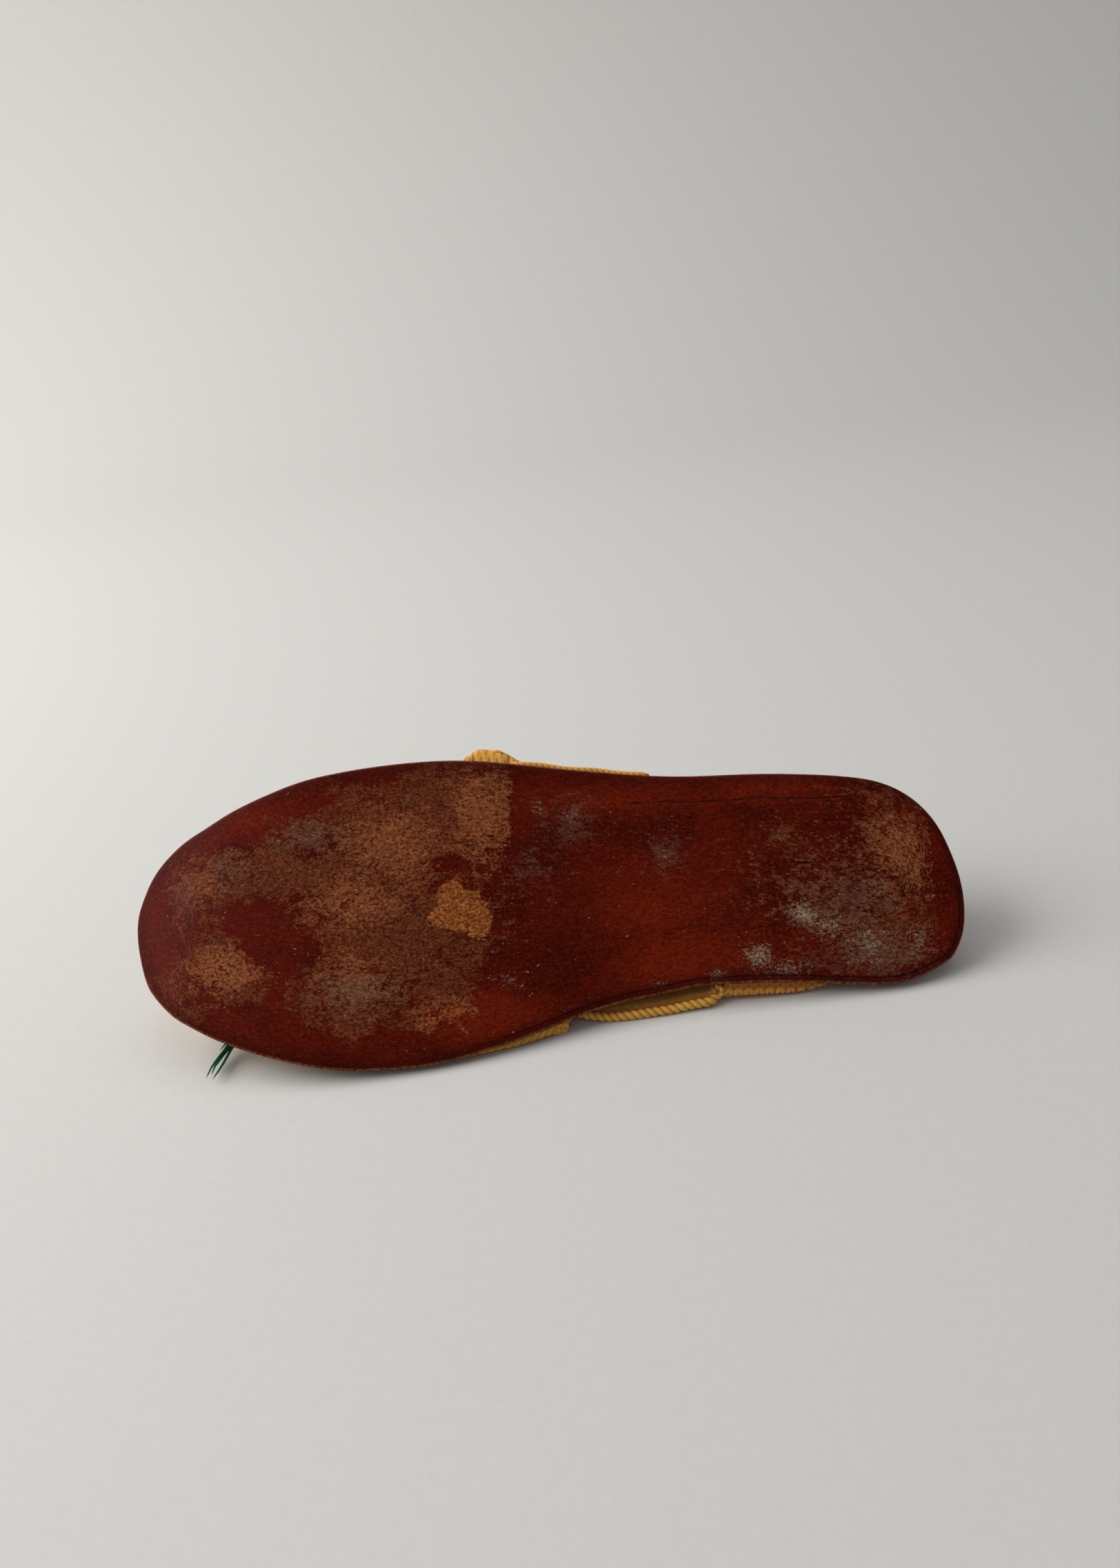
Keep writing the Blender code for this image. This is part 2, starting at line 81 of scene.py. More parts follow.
# Outline: share of the length from the heel, then lateral and medial half widths as shares of it
OUTLINE = [
    (0.0000, 0.0000, 0.0000), (0.0075, 0.0506, 0.0490), (0.0140, 0.0730, 0.0614),
    (0.0220, 0.0913, 0.0747), (0.0470, 0.1228, 0.0896), (0.0720, 0.1394, 0.1004),
    (0.0970, 0.1485, 0.1054), (0.1220, 0.1527, 0.1054), (0.1640, 0.1568, 0.1029),
    (0.2470, 0.1602, 0.0988), (0.3160, 0.1602, 0.0988), (0.3630, 0.1627, 0.1071),
    (0.4070, 0.1668, 0.1145), (0.4480, 0.1710, 0.1245), (0.4960, 0.1759, 0.1419),
    (0.5460, 0.1817, 0.1602), (0.5790, 0.1851, 0.1693), (0.6200, 0.1867, 0.1801),
    (0.6620, 0.1851, 0.1859), (0.7200, 0.1793, 0.1876), (0.7620, 0.1726, 0.1842),
    (0.7950, 0.1660, 0.1776), (0.8450, 0.1485, 0.1635), (0.8950, 0.1261, 0.1444),
    (0.9190, 0.1112, 0.1320), (0.9440, 0.0971, 0.1178), (0.9640, 0.0797, 0.0988),
    (0.9790, 0.0622, 0.0813), (0.9890, 0.0440, 0.0564), (0.9940, 0.0290, 0.0398),
    (1.0000, 0.0000, 0.0000),
]

# Vamp: share of the length, height as a share of VAMP_HEIGHT, crest offset as a share of the length,
# then how square the lateral side is and how flat the side that lies on the floor is
VAMP = [
    (0.500, 1.00, 0.003, 3.4, 1.12), (0.560, 1.00, 0.003, 2.9, 1.12), (0.620, 0.98, 0.003, 2.5, 1.12),
    (0.700, 0.90, 0.002, 2.3, 1.18), (0.780, 0.77, 0.001, 2.2, 1.36), (0.860, 0.63, 0.000, 2.1, 1.60),
    (0.920, 0.51, 0.000, 2.0, 1.80), (0.980, 0.40, 0.000, 2.0, 2.00),
]

# Strap, side panel and heel band: share of the way from the vamp (0) to the heel's end (1), then inset
# and height of the low edge, of the belly between, and of the collar edge, as shares of STRAP_HEIGHT
STRAP_LATERAL = [
    (0.000, 0.42, 0.34, 0.36, 0.77, 0.55, 1.20), (0.120, 0.50, 0.30, 0.52, 0.71, 0.80, 1.12),
    (0.270, 0.45, 0.24, 0.52, 0.63, 0.92, 1.04), (0.350, 0.30, 0.16, 0.42, 0.57, 0.85, 0.99),
    (0.375, 0.19, 0.00, 0.28, 0.50, 0.80, 0.97), (0.480, 0.19, 0.00, 0.26, 0.50, 0.72, 0.95),
    (0.575, 0.19, 0.00, 0.26, 0.48, 0.66, 0.93), (0.610, 0.22, 0.17, 0.28, 0.53, 0.62, 0.91),
    (0.800, 0.30, 0.16, 0.34, 0.46, 0.58, 0.76), (1.000, 0.38, 0.12, 0.40, 0.33, 0.58, 0.54),
]
STRAP_MEDIAL = [
    (0.000, 0.20, 0.20, 0.35, 0.45, 1.05, 0.78), (0.100, -0.08, 0.04, 0.18, 0.28, 1.00, 0.80),
    (0.220, -0.15, 0.00, 0.16, 0.20, 0.98, 0.80), (0.340, -0.17, 0.00, 0.14, 0.20, 1.00, 0.80),
    (0.375, 0.04, 0.00, -0.42, 0.11, 1.00, 0.77), (0.480, 0.04, 0.00, -0.36, 0.08, 0.98, 0.72),
    (0.575, 0.08, 0.00, -0.14, 0.10, 0.94, 0.70), (0.610, 0.20, 0.09, 0.22, 0.22, 0.92, 0.68),
    (0.720, 0.28, 0.09, 0.38, 0.26, 0.88, 0.62), (0.850, 0.35, 0.10, 0.42, 0.30, 0.70, 0.54),
    (1.000, 0.38, 0.12, 0.40, 0.33, 0.58, 0.54),
]

# Section angles in degrees, from the lateral foot; the strap joins at the middle six of each side
LATERAL_ANGLES = [0, 7, 14, 22, 31, 41, 52, 62, 71, 80, 90]
MEDIAL_ANGLES = [0, 12, 20, 27, 34, 41, 48, 56, 65, 74, 82]
lateral_first = 1
join_cells = 5
medial_first = 2

# Locks of the tassel: (share of the length, section angle) along each, then the thickness share
LOCKS = [
    ([(0.590, 34), (0.640, 31), (0.700, 29), (0.760, 28), (0.820, 27)], 1.00),
    ([(0.590, 33), (0.640, 25), (0.700, 21), (0.770, 19), (0.845, 18)], 1.00),
    ([(0.592, 35), (0.630, 37), (0.680, 36), (0.740, 38), (0.800, 38)], 0.90),
    ([(0.588, 32), (0.620, 20), (0.670, 14), (0.720, 12)], 0.90),
    ([(0.592, 35), (0.660, 37), (0.720, 42), (0.765, 58), (0.795, 84), (0.820, 112), (0.850, 138), (0.872, 157)], 0.85),
]


def curve(table, column, x):
    """The table's column at x, through its points, smooth and without overshoot."""
    xs = [row[0] for row in table]
    ys = [row[column] for row in table]
    x = min(max(x, xs[0]), xs[-1])
    i = max(j for j in range(len(xs) - 1) if xs[j] <= x)
    slopes = [(ys[j + 1] - ys[j]) / (xs[j + 1] - xs[j]) for j in range(len(xs) - 1)]

    def tangent(j):
        if j in (0, len(xs) - 1):
            return slopes[min(j, len(slopes) - 1)]
        a, b = slopes[j - 1], slopes[j]
        return 2 * a * b / (a + b) if a * b > 0 else 0.0

    h = xs[i + 1] - xs[i]
    s = (x - xs[i]) / h
    return (
        ys[i] * (2 * s**3 - 3 * s**2 + 1) + tangent(i) * h * (s**3 - 2 * s**2 + s)
        + ys[i + 1] * (3 * s**2 - 2 * s**3) + tangent(i + 1) * h * (s**3 - s**2)
    )


def turned(share):
    return math.acos(max(-1.0, min(1.0, 1 - 2 * share)))


ROUND_OUTLINE = [(turned(t), lateral, medial) for t, lateral, medial in OUTLINE]


def half_width(share, side):
    """Distance from the long axis to the edge, side 1 medial, side -1 lateral."""
    return curve(ROUND_OUTLINE, 2 if side > 0 else 1, turned(share)) * SOLE_LENGTH


def sole_lift(share):
    arch = math.exp(-(((share - 0.40) / 0.13) ** 2)) * ARCH_LIFT
    toe = max(0.0, (share - 0.72) / 0.28) ** 2.2 * TOE_SPRING
    return arch + toe


def sole_top(x):
    return sole_lift(0.5 - x / SOLE_LENGTH) + SOLE_THICK


def edge_loop(count):
    """Points of the outline: lateral side from toe to heel, then medial side from heel to toe."""
    points = []
    for k in range(2 * count):
        side = -1 if k < count else 1
        u = math.pi * (1 - k / count) if side < 0 else math.pi * (k - count) / count
        share = (1 - math.cos(u)) / 2
        points.append(Vector((SOLE_LENGTH * (0.5 - share), side * half_width(share, side), 0)))
    return points


EDGE = edge_loop(180)
INWARD = []
for k, point in enumerate(EDGE):
    along = EDGE[(k + 1) % len(EDGE)] - EDGE[k - 1]
    INWARD.append(Vector((-along.y, along.x, 0)).normalized())


def inset_rows(inset):
    """The outline moved inward, as (share, half width) rows of each side."""
    rows = {-1: [], 1: []}
    for k, (point, inward) in enumerate(zip(EDGE, INWARD)):
        moved = point + inward * inset
        rows[-1 if k < 180 else 1].append((0.5 - moved.x / SOLE_LENGTH, moved.y))
    return {side: sorted(found) for side, found in rows.items()}


def inset_y(rows, share, side):
    return float(np.interp(share, [r[0] for r in rows[side]], [r[1] for r in rows[side]]))


VAMP_FOOT = inset_rows(VAMP_INSET)
PAD_EDGE = inset_rows(PAD_INSET)
VAMP_TOE = 1 - VAMP_INSET / SOLE_LENGTH


def vamp_point(share, degrees):
    """A point of the vamp's middle surface, at a section angle from the lateral foot over to the medial."""
    close = math.sqrt(max(0.0, 1 - max(0.0, (share - 0.86) / (VAMP_TOE - 0.86)) ** 2))
    lateral = inset_y(VAMP_FOOT, share, -1)
    medial = inset_y(VAMP_FOOT, share, 1)
    crest = curve(VAMP, 2, share) * SOLE_LENGTH * close
    if share > 0.9:
        crest += (lateral + medial) / 2 * (1 - close)
    height = curve(VAMP, 1, share) * VAMP_HEIGHT * close
    power = 2 / curve(VAMP, 3 if degrees <= 90 else 4, share)
    angle = math.radians(degrees)
    across = abs(math.cos(angle)) ** power
    foot = lateral if degrees <= 90 else medial
    x = SOLE_LENGTH * (0.5 - share)
    return Vector((x, crest + (foot - crest) * across, sole_top(x) + GAP + height * math.sin(angle) ** power))


def vamp_outer(share, degrees, away):
    """A point this far out from the vamp's middle surface."""
    degrees = min(max(degrees, 2.0), 178.0)
    here = vamp_point(share, degrees)
    along = vamp_point(share + 0.004, degrees) - vamp_point(share - 0.004, degrees)
    across = vamp_point(share, degrees + 1.5) - vamp_point(share, degrees - 1.5)
    normal = across.cross(along).normalized()
    if normal.z < 0:
        normal = -normal
    return here + normal * away


def angles():
    return LATERAL_ANGLES + [180 - a for a in reversed(MEDIAL_ANGLES)]


def collar_edge(way):
    """Edge point and inward direction, way 0 at the vamp's lateral corner, 1 at the heel, 2 medial."""
    rear = SOLE_LENGTH * (0.5 - VAMP_REAR)
    run = [k for k in range(len(EDGE)) if EDGE[k].x >= rear]
    lengths = [0.0]
    for a, b in zip(run, run[1:]):
        lengths.append(lengths[-1] + (EDGE[b] - EDGE[a]).length)
    heel = lengths[run.index(180)]
    wanted = heel * way if way <= 1 else heel + (lengths[-1] - heel) * (way - 1)
    place = [float(np.interp(wanted, lengths, [EDGE[k][i] for k in run])) for i in (0, 1)]
    inward = Vector()
    for ease in (-0.014, -0.007, 0.0, 0.007, 0.014):
        eased = [float(np.interp(wanted + ease, lengths, [INWARD[k][i] for k in run])) for i in (0, 1)]
        inward += Vector((*eased, 0))
    return Vector((*place, 0)), inward.normalized()


def strap_point(way, across):
    """A point of the strap's middle surface: across 0 is its low edge, 1 its collar edge."""
    table, local = (STRAP_LATERAL, way) if way <= 1 else (STRAP_MEDIAL, 2 - way)
    place, inward = collar_edge(way)
    weights = ((1 - across) ** 2, 2 * across * (1 - across), across**2)
    inset = sum(curve(table, c, local) * w for c, w in zip((1, 3, 5), weights)) * STRAP_HEIGHT
    height = sum(curve(table, c, local) * w for c, w in zip((2, 4, 6), weights)) * STRAP_HEIGHT
    point = place + inward * inset
    point.z = sole_top(point.x) + GAP + height
    return point


# From the shoe's own axes to the row frame, as the CAD part lies
ROW_TURN = np.array([[0.995326, -0.066595, -0.069943], [0.0, -0.724229, 0.68956], [-0.096576, -0.686336, -0.720844]])
ROW_SHIFT = np.array([0.000471, -0.011116, 0.032179])


def in_row(points):
    return np.asarray(points, float) @ ROW_TURN.T + ROW_SHIFT


def refine(points, nu, nv):
    """A coarse grid of points, drawn as a smooth one of nu by nv cells."""
    points = np.asarray(points, float)
    for axis, count in ((0, nu), (1, nv)):
        if not count:
            continue
        points = np.moveaxis(points, axis, 0)
        cells = len(points) - 1
        ends = np.concatenate([[2 * points[0] - points[1]], points, [2 * points[-1] - points[-2]]])
        at = np.linspace(0, cells, count + 1)
        i = np.minimum(at.astype(int), cells - 1)
        s = (at - i).reshape(-1, *[1] * (points.ndim - 1))
        a, b, c, d = (ends[i + k] for k in range(4))
        points = (b * 2 + (c - a) * s + (a * 2 - b * 5 + c * 4 - d) * s**2 + (b * 3 - a - c * 3 + d) * s**3) / 2
        points = np.moveaxis(points, 0, axis)
    return points


def normals_of(points):
    along = np.gradient(points, axis=0)
    across = np.gradient(points, axis=1)
    normal = np.cross(along, across)
    return normal / np.maximum(np.linalg.norm(normal, axis=-1, keepdims=True), 1e-12)


def piece(name, grids, materials, node_name, smooth=True):
    """Closed sheets of points in shoe axes, welded, each (points, attributes, material index), as one object."""
    whole = bmesh.new()
    for points, facts, number in grids:
        nu, nv = points.shape[0] - 1, points.shape[1] - 1
        bm = bmesh.new()
        bmesh.ops.create_grid(bm, x_segments=nu, y_segments=nv, size=1.0)
        part = bpy.data.meshes.new("part")
        bm.to_mesh(part)
        bm.free()
        flat = np.empty(len(part.vertices) * 3)
        part.vertices.foreach_get("co", flat)
        flat = flat.reshape(-1, 3)
        i = np.rint((flat[:, 0] + 1) / 2 * nu).astype(int)
        j = np.rint((flat[:, 1] + 1) / 2 * nv).astype(int)
        placed = in_row(points[i, j])
        placed[:, 2] = np.maximum(placed[:, 2], 0.0001)
        part.vertices.foreach_set("co", placed.astype(np.float32).ravel())
        for key, values in facts.items():
            layer = part.attributes.new(key, "FLOAT_VECTOR", "POINT")
            layer.data.foreach_set("vector", values[i, j].astype(np.float32).ravel())
        part.polygons.foreach_set("material_index", np.full(len(part.polygons), number, np.int32))
        part.polygons.foreach_set("use_smooth", np.full(len(part.polygons), smooth))
        solid = bmesh.new()
        solid.from_mesh(part)
        bpy.data.meshes.remove(part)
        bmesh.ops.remove_doubles(solid, verts=solid.verts, dist=2e-6)
        bmesh.ops.holes_fill(solid, edges=[edge for edge in solid.edges if edge.is_boundary], sides=0)
        bmesh.ops.dissolve_degenerate(solid, edges=solid.edges, dist=1e-7)
        bmesh.ops.recalc_face_normals(solid, faces=solid.faces)
        welded = bpy.data.meshes.new("welded")
        solid.to_mesh(welded)
        solid.free()
        whole.from_mesh(welded)
        bpy.data.meshes.remove(welded)
    mesh = bpy.data.meshes.new(name)
    whole.to_mesh(mesh)
    whole.free()
    obj = bpy.data.objects.new(name, mesh)
    bpy.context.scene.collection.objects.link(obj)
    for material in materials:
        mesh.materials.append(material)
    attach(obj, "root")
    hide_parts(node_name)
    return obj


def linear(text):
    """A linear colour from an sRGB hex value."""
    found = []
    for k in (0, 2, 4):
        value = int(text[k : k + 2], 16) / 255
        found.append(value / 12.92 if value <= 0.04045 else ((value + 0.055) / 1.055) ** 2.4)
    return (*found, 1.0)


def new_material(name):
    made = bpy.data.materials.new(name)
    made.use_nodes = True
    return made.node_tree, made.node_tree.nodes["Principled BSDF"], made


def add(tree, kind, links=None, **settings):
    """One node with its settings, its inputs linked or set."""
    made = tree.nodes.new(kind)
    for key, value in settings.items():
        setattr(made, key, value)
    for key, value in (links or {}).items():
        if isinstance(value, bpy.types.NodeSocket):
            tree.links.new(value, made.inputs[key])
        else:
            made.inputs[key].default_value = value
    return made


def maths(tree, operation, *values, clamp=False):
    return add(tree, "ShaderNodeMath", dict(enumerate(values)), operation=operation, use_clamp=clamp).outputs[0]


def blend_of(tree, share, low, high, mode="MIX"):
    made = add(tree, "ShaderNodeMix", {0: share, 6: low, 7: high}, data_type="RGBA", blend_type=mode)
    return made.outputs[2]


def noise_of(tree, vector, scale, detail=3.0, rough=0.55, distortion=0.0):
    return add(tree, "ShaderNodeTexNoise", {"Vector": vector, "Scale": scale, "Detail": detail, "Roughness": rough,
                                            "Distortion": distortion}).outputs[0]


def ramp(tree, value, low, high, out_low=0.0, out_high=1.0):
    return add(tree, "ShaderNodeMapRange", {0: value, 1: low, 2: high, 3: out_low, 4: out_high},
               interpolation_type="SMOOTHSTEP").outputs[0]


def stretched(tree, vector, scale):
    return add(tree, "ShaderNodeMapping", {0: vector, "Scale": scale}).outputs[0]


# Wear of the outsole, in millimetres from the heel and to the lateral side: kind, place, radii, strength
WEAR = [
    ("scuff", 160, 32, 24, 22, 1.5), ("scuff", 150, 34, 14, 16, 1.6), ("scuff", 182, 20, 34, 26, 1.5),
    ("scuff", 206, 12, 30, 22, 1.3), ("scuff", 226, 10, 22, 16, 1.0), ("scuff", 238, 12, 12, 10, 1.0),
    ("scuff", 178, -8, 32, 24, 1.3), ("scuff", 190, -24, 20, 16, 1.4), ("scuff", 192, -34, 8, 9, 1.1),
    ("scuff", 234, -14, 13, 9, 1.4), ("scuff", 225, -21, 10, 9, 1.4), ("scuff", 247, -22, 10, 12, 1.0),
    ("scuff", 240, -30, 10, 6, 0.7), ("scuff", 163, -24, 14, 12, 1.0), ("scuff", 172, -34, 9, 5, 0.8),
    ("scuff", 154, -14, 10, 12, 0.7), ("scuff", 246, 2, 6, 10, 0.6), ("scuff", 196, 34, 16, 8, 0.5),
    ("scuff", 20, 16, 14, 18, 1.1), ("scuff", 26, -4, 18, 20, 0.75), ("scuff", 44, 4, 16, 12, 0.45),
    ("scuff", 55, 19, 6, 5, 0.6), ("scuff", 24, 34, 12, 5, 0.4), ("scuff", 12, 30, 6, 8, 0.4),
    ("island", 220, -1, 14, 8, 1.2), ("island", 212, -12, 12, 8, 1.3), ("island", 203, 20, 8, 6, 0.7),
    ("island", 161, 14, 9, 4, 1.0), ("island", 232, 27, 20, 7, 1.2), ("island", 212, 36, 16, 6, 1.2),
    ("island", 188, 44, 14, 4, 0.9), ("island", 224, -36, 22, 8, 1.5), ("island", 204, -42, 14, 6, 1.3),
    ("island", 176, -44, 16, 7, 1.2), ("island", 252, -6, 6, 14, 1.2), ("island", 4, 0, 6, 30, 1.6),
    ("island", 142, -30, 10, 20, 1.0), ("island", 208, 4, 7, 4, 0.8),
    ("pale", 150, 30, 12, 16, 1.0), ("pale", 178, 20, 18, 12, 0.9), ("pale", 230, -17, 13, 8, 1.3),
    ("pale", 190, 2, 16, 8, 0.9), ("pale", 240, 11, 8, 6, 0.8), ("pale", 19, 14, 10, 12, 0.9),
    ("pale", 190, -22, 10, 8, 0.6), ("pale", 162, -33, 9, 5, 0.8),
    ("patch", 157, -1, 8.6, 7.2, 1.0), ("patch", 160, 4, 5, 5, 1.0), ("patch", 152, -5, 5, 6, 1.0),
    ("patch", 163, -3, 5, 4, 0.9),
    ("flake", 51, -5, 9, 7, 1.5), ("flake", 44, -9, 14, 9, 1.1), ("flake", 66, -18, 9, 8, 1.3),
    ("flake", 79, -23, 6, 3.5, 1.2), ("flake", 58, -22, 16, 6, 1.0), ("flake", 32, -15, 18, 13, 1.0),
    ("flake", 17, -15, 9, 11, 0.9), ("flake", 26, -2, 14, 10, 0.55), ("flake", 97, -25, 6, 2.5, 0.9),
    ("flake", 122, 29, 8, 7, 0.8), ("flake", 133, 32, 4, 6, 0.9), ("flake", 93, 15, 5, 8, 0.8),
    ("flake", 143, -23, 9, 5, 0.8), ("flake", 205, 24, 12, 5, 0.75), ("flake", 188, -24, 14, 6, 0.6),
    ("flake", 108, 10, 3, 3, 0.8), ("flake", 65, 11, 3, 3, 0.7), ("flake", 56, 20, 5, 4, 0.7),
    ("haze", 36, 0, 24, 14, 0.9), ("haze", 205, 24, 14, 8, 1.0), ("haze", 190, -26, 18, 9, 1.0),
    ("haze", 30, -18, 24, 12, 1.0), ("haze", 122, 26, 12, 10, 0.7), ("haze", 230, 14, 10, 8, 0.8),
    ("haze", 244, 6, 7, 12, 1.0), ("haze", 93, 16, 8, 10, 0.7), ("haze", 136, 12, 10, 10, 0.5),
    ("bright", 90, -18, 26, 14, 1.0), ("bright", 150, -34, 30, 10, 1.1), ("bright", 110, 34, 40, 8, 0.8),
    ("bright", 100, -2, 30, 18, 0.7), ("bright", 60, 36, 26, 7, 0.7), ("bright", 224, 30, 22, 8, 0.8),
]


def wear_field(kind, s, side):
    field = np.full(s.shape, -1.0)
    for name, at, over, long, wide, strength in WEAR:
        if name == kind:
            away = np.sqrt(((s - at) / long) ** 2 + ((side - over) / wide) ** 2)
            field = np.maximum(field, strength * (1 - away))
    return field


# Outsole: rings from its middle line out over the walked face, round the cut edge and back over the inner face
TURNS = 480
loop = np.array(edge_loop(TURNS // 2))
for _ in range(12):
    loop = (np.roll(loop, 1, axis=0) + 2 * loop + np.roll(loop, -1, axis=0)) / 4
step = np.roll(loop, -1, axis=0) - np.roll(loop, 1, axis=0)
inner = np.stack([-step[:, 1], step[:, 0], 0 * step[:, 0]], -1)
inner /= np.linalg.norm(inner, axis=1, keepdims=True)
for _ in range(3):
    inner = inner + 0.5 * (np.roll(inner, 1, axis=0) + np.roll(inner, -1, axis=0))
    inner /= np.linalg.norm(inner, axis=1, keepdims=True)
lift = np.array([sole_lift(0.5 - x / SOLE_LENGTH) for x in loop[:, 0]])
RIM = 0.0045
spine_y = (loop[:, 1] + np.roll(loop[::-1], 1, axis=0)[:, 1]) / 2
rim_in = loop + inner * RIM
spine = np.stack([loop[:, 0], spine_y, 0 * spine_y], -1)
limit = SOLE_LENGTH / 2 - 0.020
spine[:, 0] = np.sign(spine[:, 0]) * np.minimum(np.abs(spine[:, 0]), limit + 0 * spine[:, 0])
rings, rim_facts = [], []
for k in range(27):
    w = k / 26
    flat = spine * (1 - w) + rim_in * w
    rings.append((flat, 0.0))
    rim_facts.append(RIM + np.linalg.norm(flat - rim_in, axis=1))
section = [(0.0030, 0.0000), (0.0018, 0.0001), (0.0009, 0.0003), (0.0003, 0.0008), (0.0000, 0.0014), (0.0000, 0.0021),
           (0.0001, 0.0028), (0.0004, 0.0034), (0.0009, 0.0038), (0.0018, 0.0040), (0.0045, 0.0040)]
for inset, up in section:
    rings.append((loop + inner * inset, up))
    rim_facts.append(np.full(len(loop), inset))
for k in range(1, 9):
    w = 1 - k / 8
    flat = spine * (1 - w) + rim_in * w
    rings.append((flat, SOLE_THICK))
    rim_facts.append(RIM + np.linalg.norm(flat - rim_in, axis=1))
points, facts = [], []
for (flat, up), rim in zip(rings, rim_facts):
    level = np.array([sole_lift(0.5 - x / SOLE_LENGTH) for x in flat[:, 0]]) + up
    points.append(np.stack([flat[:, 0], flat[:, 1], level], -1))
    facts.append(np.stack([130 - flat[:, 0] * 1000, -flat[:, 1] * 1000, rim * 1000], -1))
points, facts = np.array(points), np.array(facts)
points = np.concatenate([points, points[:, :1]], axis=1)
facts = np.concatenate([facts, facts[:, :1]], axis=1)
ups = np.array([up for _, up in rings]) * 1000
s_mm, side_mm = facts[..., 0], facts[..., 1]
scuff = wear_field("scuff", s_mm, side_mm) - 1.4 * np.maximum(0, wear_field("island", s_mm, side_mm) + 0.1)
cut = np.clip((141.0 - s_mm) / 1.2, 0, 1) * (s_mm > 100) * np.clip((side_mm - 12) / 6, 0, 1)
scuff = np.where(s_mm > 100, scuff - 2.0 * cut, scuff)
wear = np.stack([scuff, wear_field("patch", s_mm, side_mm), wear_field("flake", s_mm, side_mm)], -1)
tint = np.stack([wear_field(kind, s_mm, side_mm) for kind in ("pale", "haze", "bright")], -1)
face = np.broadcast_to(ups[:, None], s_mm.shape)
faces = np.stack([face, 0 * face, 0 * face], -1)

tree, shader, sole_material = new_material("oiled_vegetable_tanned_leather")
# Veg tanned leather, dyed red brown, oiled and walked on: deep gloss where whole, dry brown nap where rubbed
place = add(tree, "ShaderNodeAttribute", attribute_name="place").outputs["Vector"]
split = add(tree, "ShaderNodeSeparateXYZ", {0: place})
s_out, side_out, rim_out = split.outputs
worn = add(tree, "ShaderNodeSeparateXYZ", {0: add(tree, "ShaderNodeAttribute", attribute_name="wear").outputs["Vector"]})
height = add(tree, "ShaderNodeSeparateXYZ", {0: add(tree, "ShaderNodeAttribute", attribute_name="level").outputs["Vector"]})
tint_of = add(tree, "ShaderNodeSeparateXYZ", {0: add(tree, "ShaderNodeAttribute", attribute_name="tint").outputs["Vector"]})
cloud = noise_of(tree, place, 0.045, 4)
middle = noise_of(tree, place, 0.24, 6, 0.68)
fine = noise_of(tree, place, 0.95, 5, 0.78)
dust = noise_of(tree, place, 2.0, 3, 0.75)
grain = noise_of(tree, stretched(tree, place, (0.16, 0.9, 0.5)), 1.9, 4, 0.7)


def spread(value, weight):
    """A noise about 0, times a weight."""
    return maths(tree, "MULTIPLY", maths(tree, "SUBTRACT", value, 0.5), weight)


def total(*values):
    found = values[0]
    for value in values[1:]:
        found = maths(tree, "ADD", found, value)
    return found


def mark(from_s, to_s, at_side, width, drift, strength):
    """A dark scored line along the sole, its strength coming and going."""
    line = total(side_out, -at_side, spread(cloud, drift))
    across = ramp(tree, maths(tree, "ABSOLUTE", line), width, 0.0)
    ends = maths(tree, "MULTIPLY", ramp(tree, s_out, from_s, from_s + 6), ramp(tree, s_out, to_s, to_s - 6))
    return maths(tree, "MULTIPLY", maths(tree, "MULTIPLY", across, ends), maths(tree, "MULTIPLY", ramp(tree, middle, 0.35, 0.6), strength))


base = blend_of(tree, ramp(tree, cloud, 0.38, 0.62), linear("420a01"), linear("540f02"))
bright = ramp(tree, total(tint_of.outputs[2], spread(middle, 1.2)), -0.15, 0.8, 0.0, 0.75)
base = blend_of(tree, bright, base, linear("6e1c06"))
base = blend_of(tree, ramp(tree, grain, 0.50, 0.74, 0.0, 0.85), base, linear("1e0303"))
base = blend_of(tree, ramp(tree, fine, 0.53, 0.62, 0.0, 0.5), base, linear("6e2814"))
base = blend_of(tree, ramp(tree, fine, 0.46, 0.38, 0.0, 0.5), base, linear("260402"))
ragged = total(spread(middle, 4.2), spread(fine, 4.4))
scuffed = ramp(tree, total(worn.outputs[0], ragged), -0.10, 0.62)
pale = ramp(tree, total(tint_of.outputs[0], spread(middle, 2.4), spread(fine, 2.0)), -0.25, 0.8)
scuff_tone = blend_of(tree, pale, linear("5f2d17"), linear("884d2b"))
scuff_tone = blend_of(tree, ramp(tree, fine, 0.49, 0.41, 0.0, 0.9), scuff_tone, linear("2e0c05"))
scuff_tone = blend_of(tree, ramp(tree, dust, 0.54, 0.64, 0.0, 0.6), scuff_tone, linear("925c38"))
base = blend_of(tree, maths(tree, "MULTIPLY", scuffed, 0.88), base, scuff_tone)
hazed = ramp(tree, total(tint_of.outputs[1], spread(middle, 2.6), spread(fine, 3.6)), 0.1, 0.9, 0.0, 0.45)
base = blend_of(tree, hazed, base, linear("66483a"))
patched = ramp(tree, total(worn.outputs[1], spread(middle, 0.9), spread(fine, 0.35)), 0.06, 0.14)
patch_tone = blend_of(tree, ramp(tree, fine, 0.40, 0.62), linear("5c260d"), linear("9c5e2c"))
patch_tone = blend_of(tree, ramp(tree, dust, 0.5, 0.7, 0.0, 0.5), patch_tone, linear("b07038"))
base = blend_of(tree, patched, base, patch_tone)
speck = noise_of(tree, place, 0.85, 6, 0.85)
flaked = ramp(tree, total(maths(tree, "MULTIPLY", worn.outputs[2], 0.20), speck), 0.645, 0.71)
base = blend_of(tree, maths(tree, "MULTIPLY", flaked, 0.80), base, blend_of(tree, ramp(tree, dust, 0.35, 0.7), linear("5e4434"), linear("b09c80")))
crumb = ramp(tree, noise_of(tree, place, 0.55, 2, 0.5), 0.735, 0.75)
base = blend_of(tree, maths(tree, "MULTIPLY", crumb, 0.6), base, linear("9a8274"))
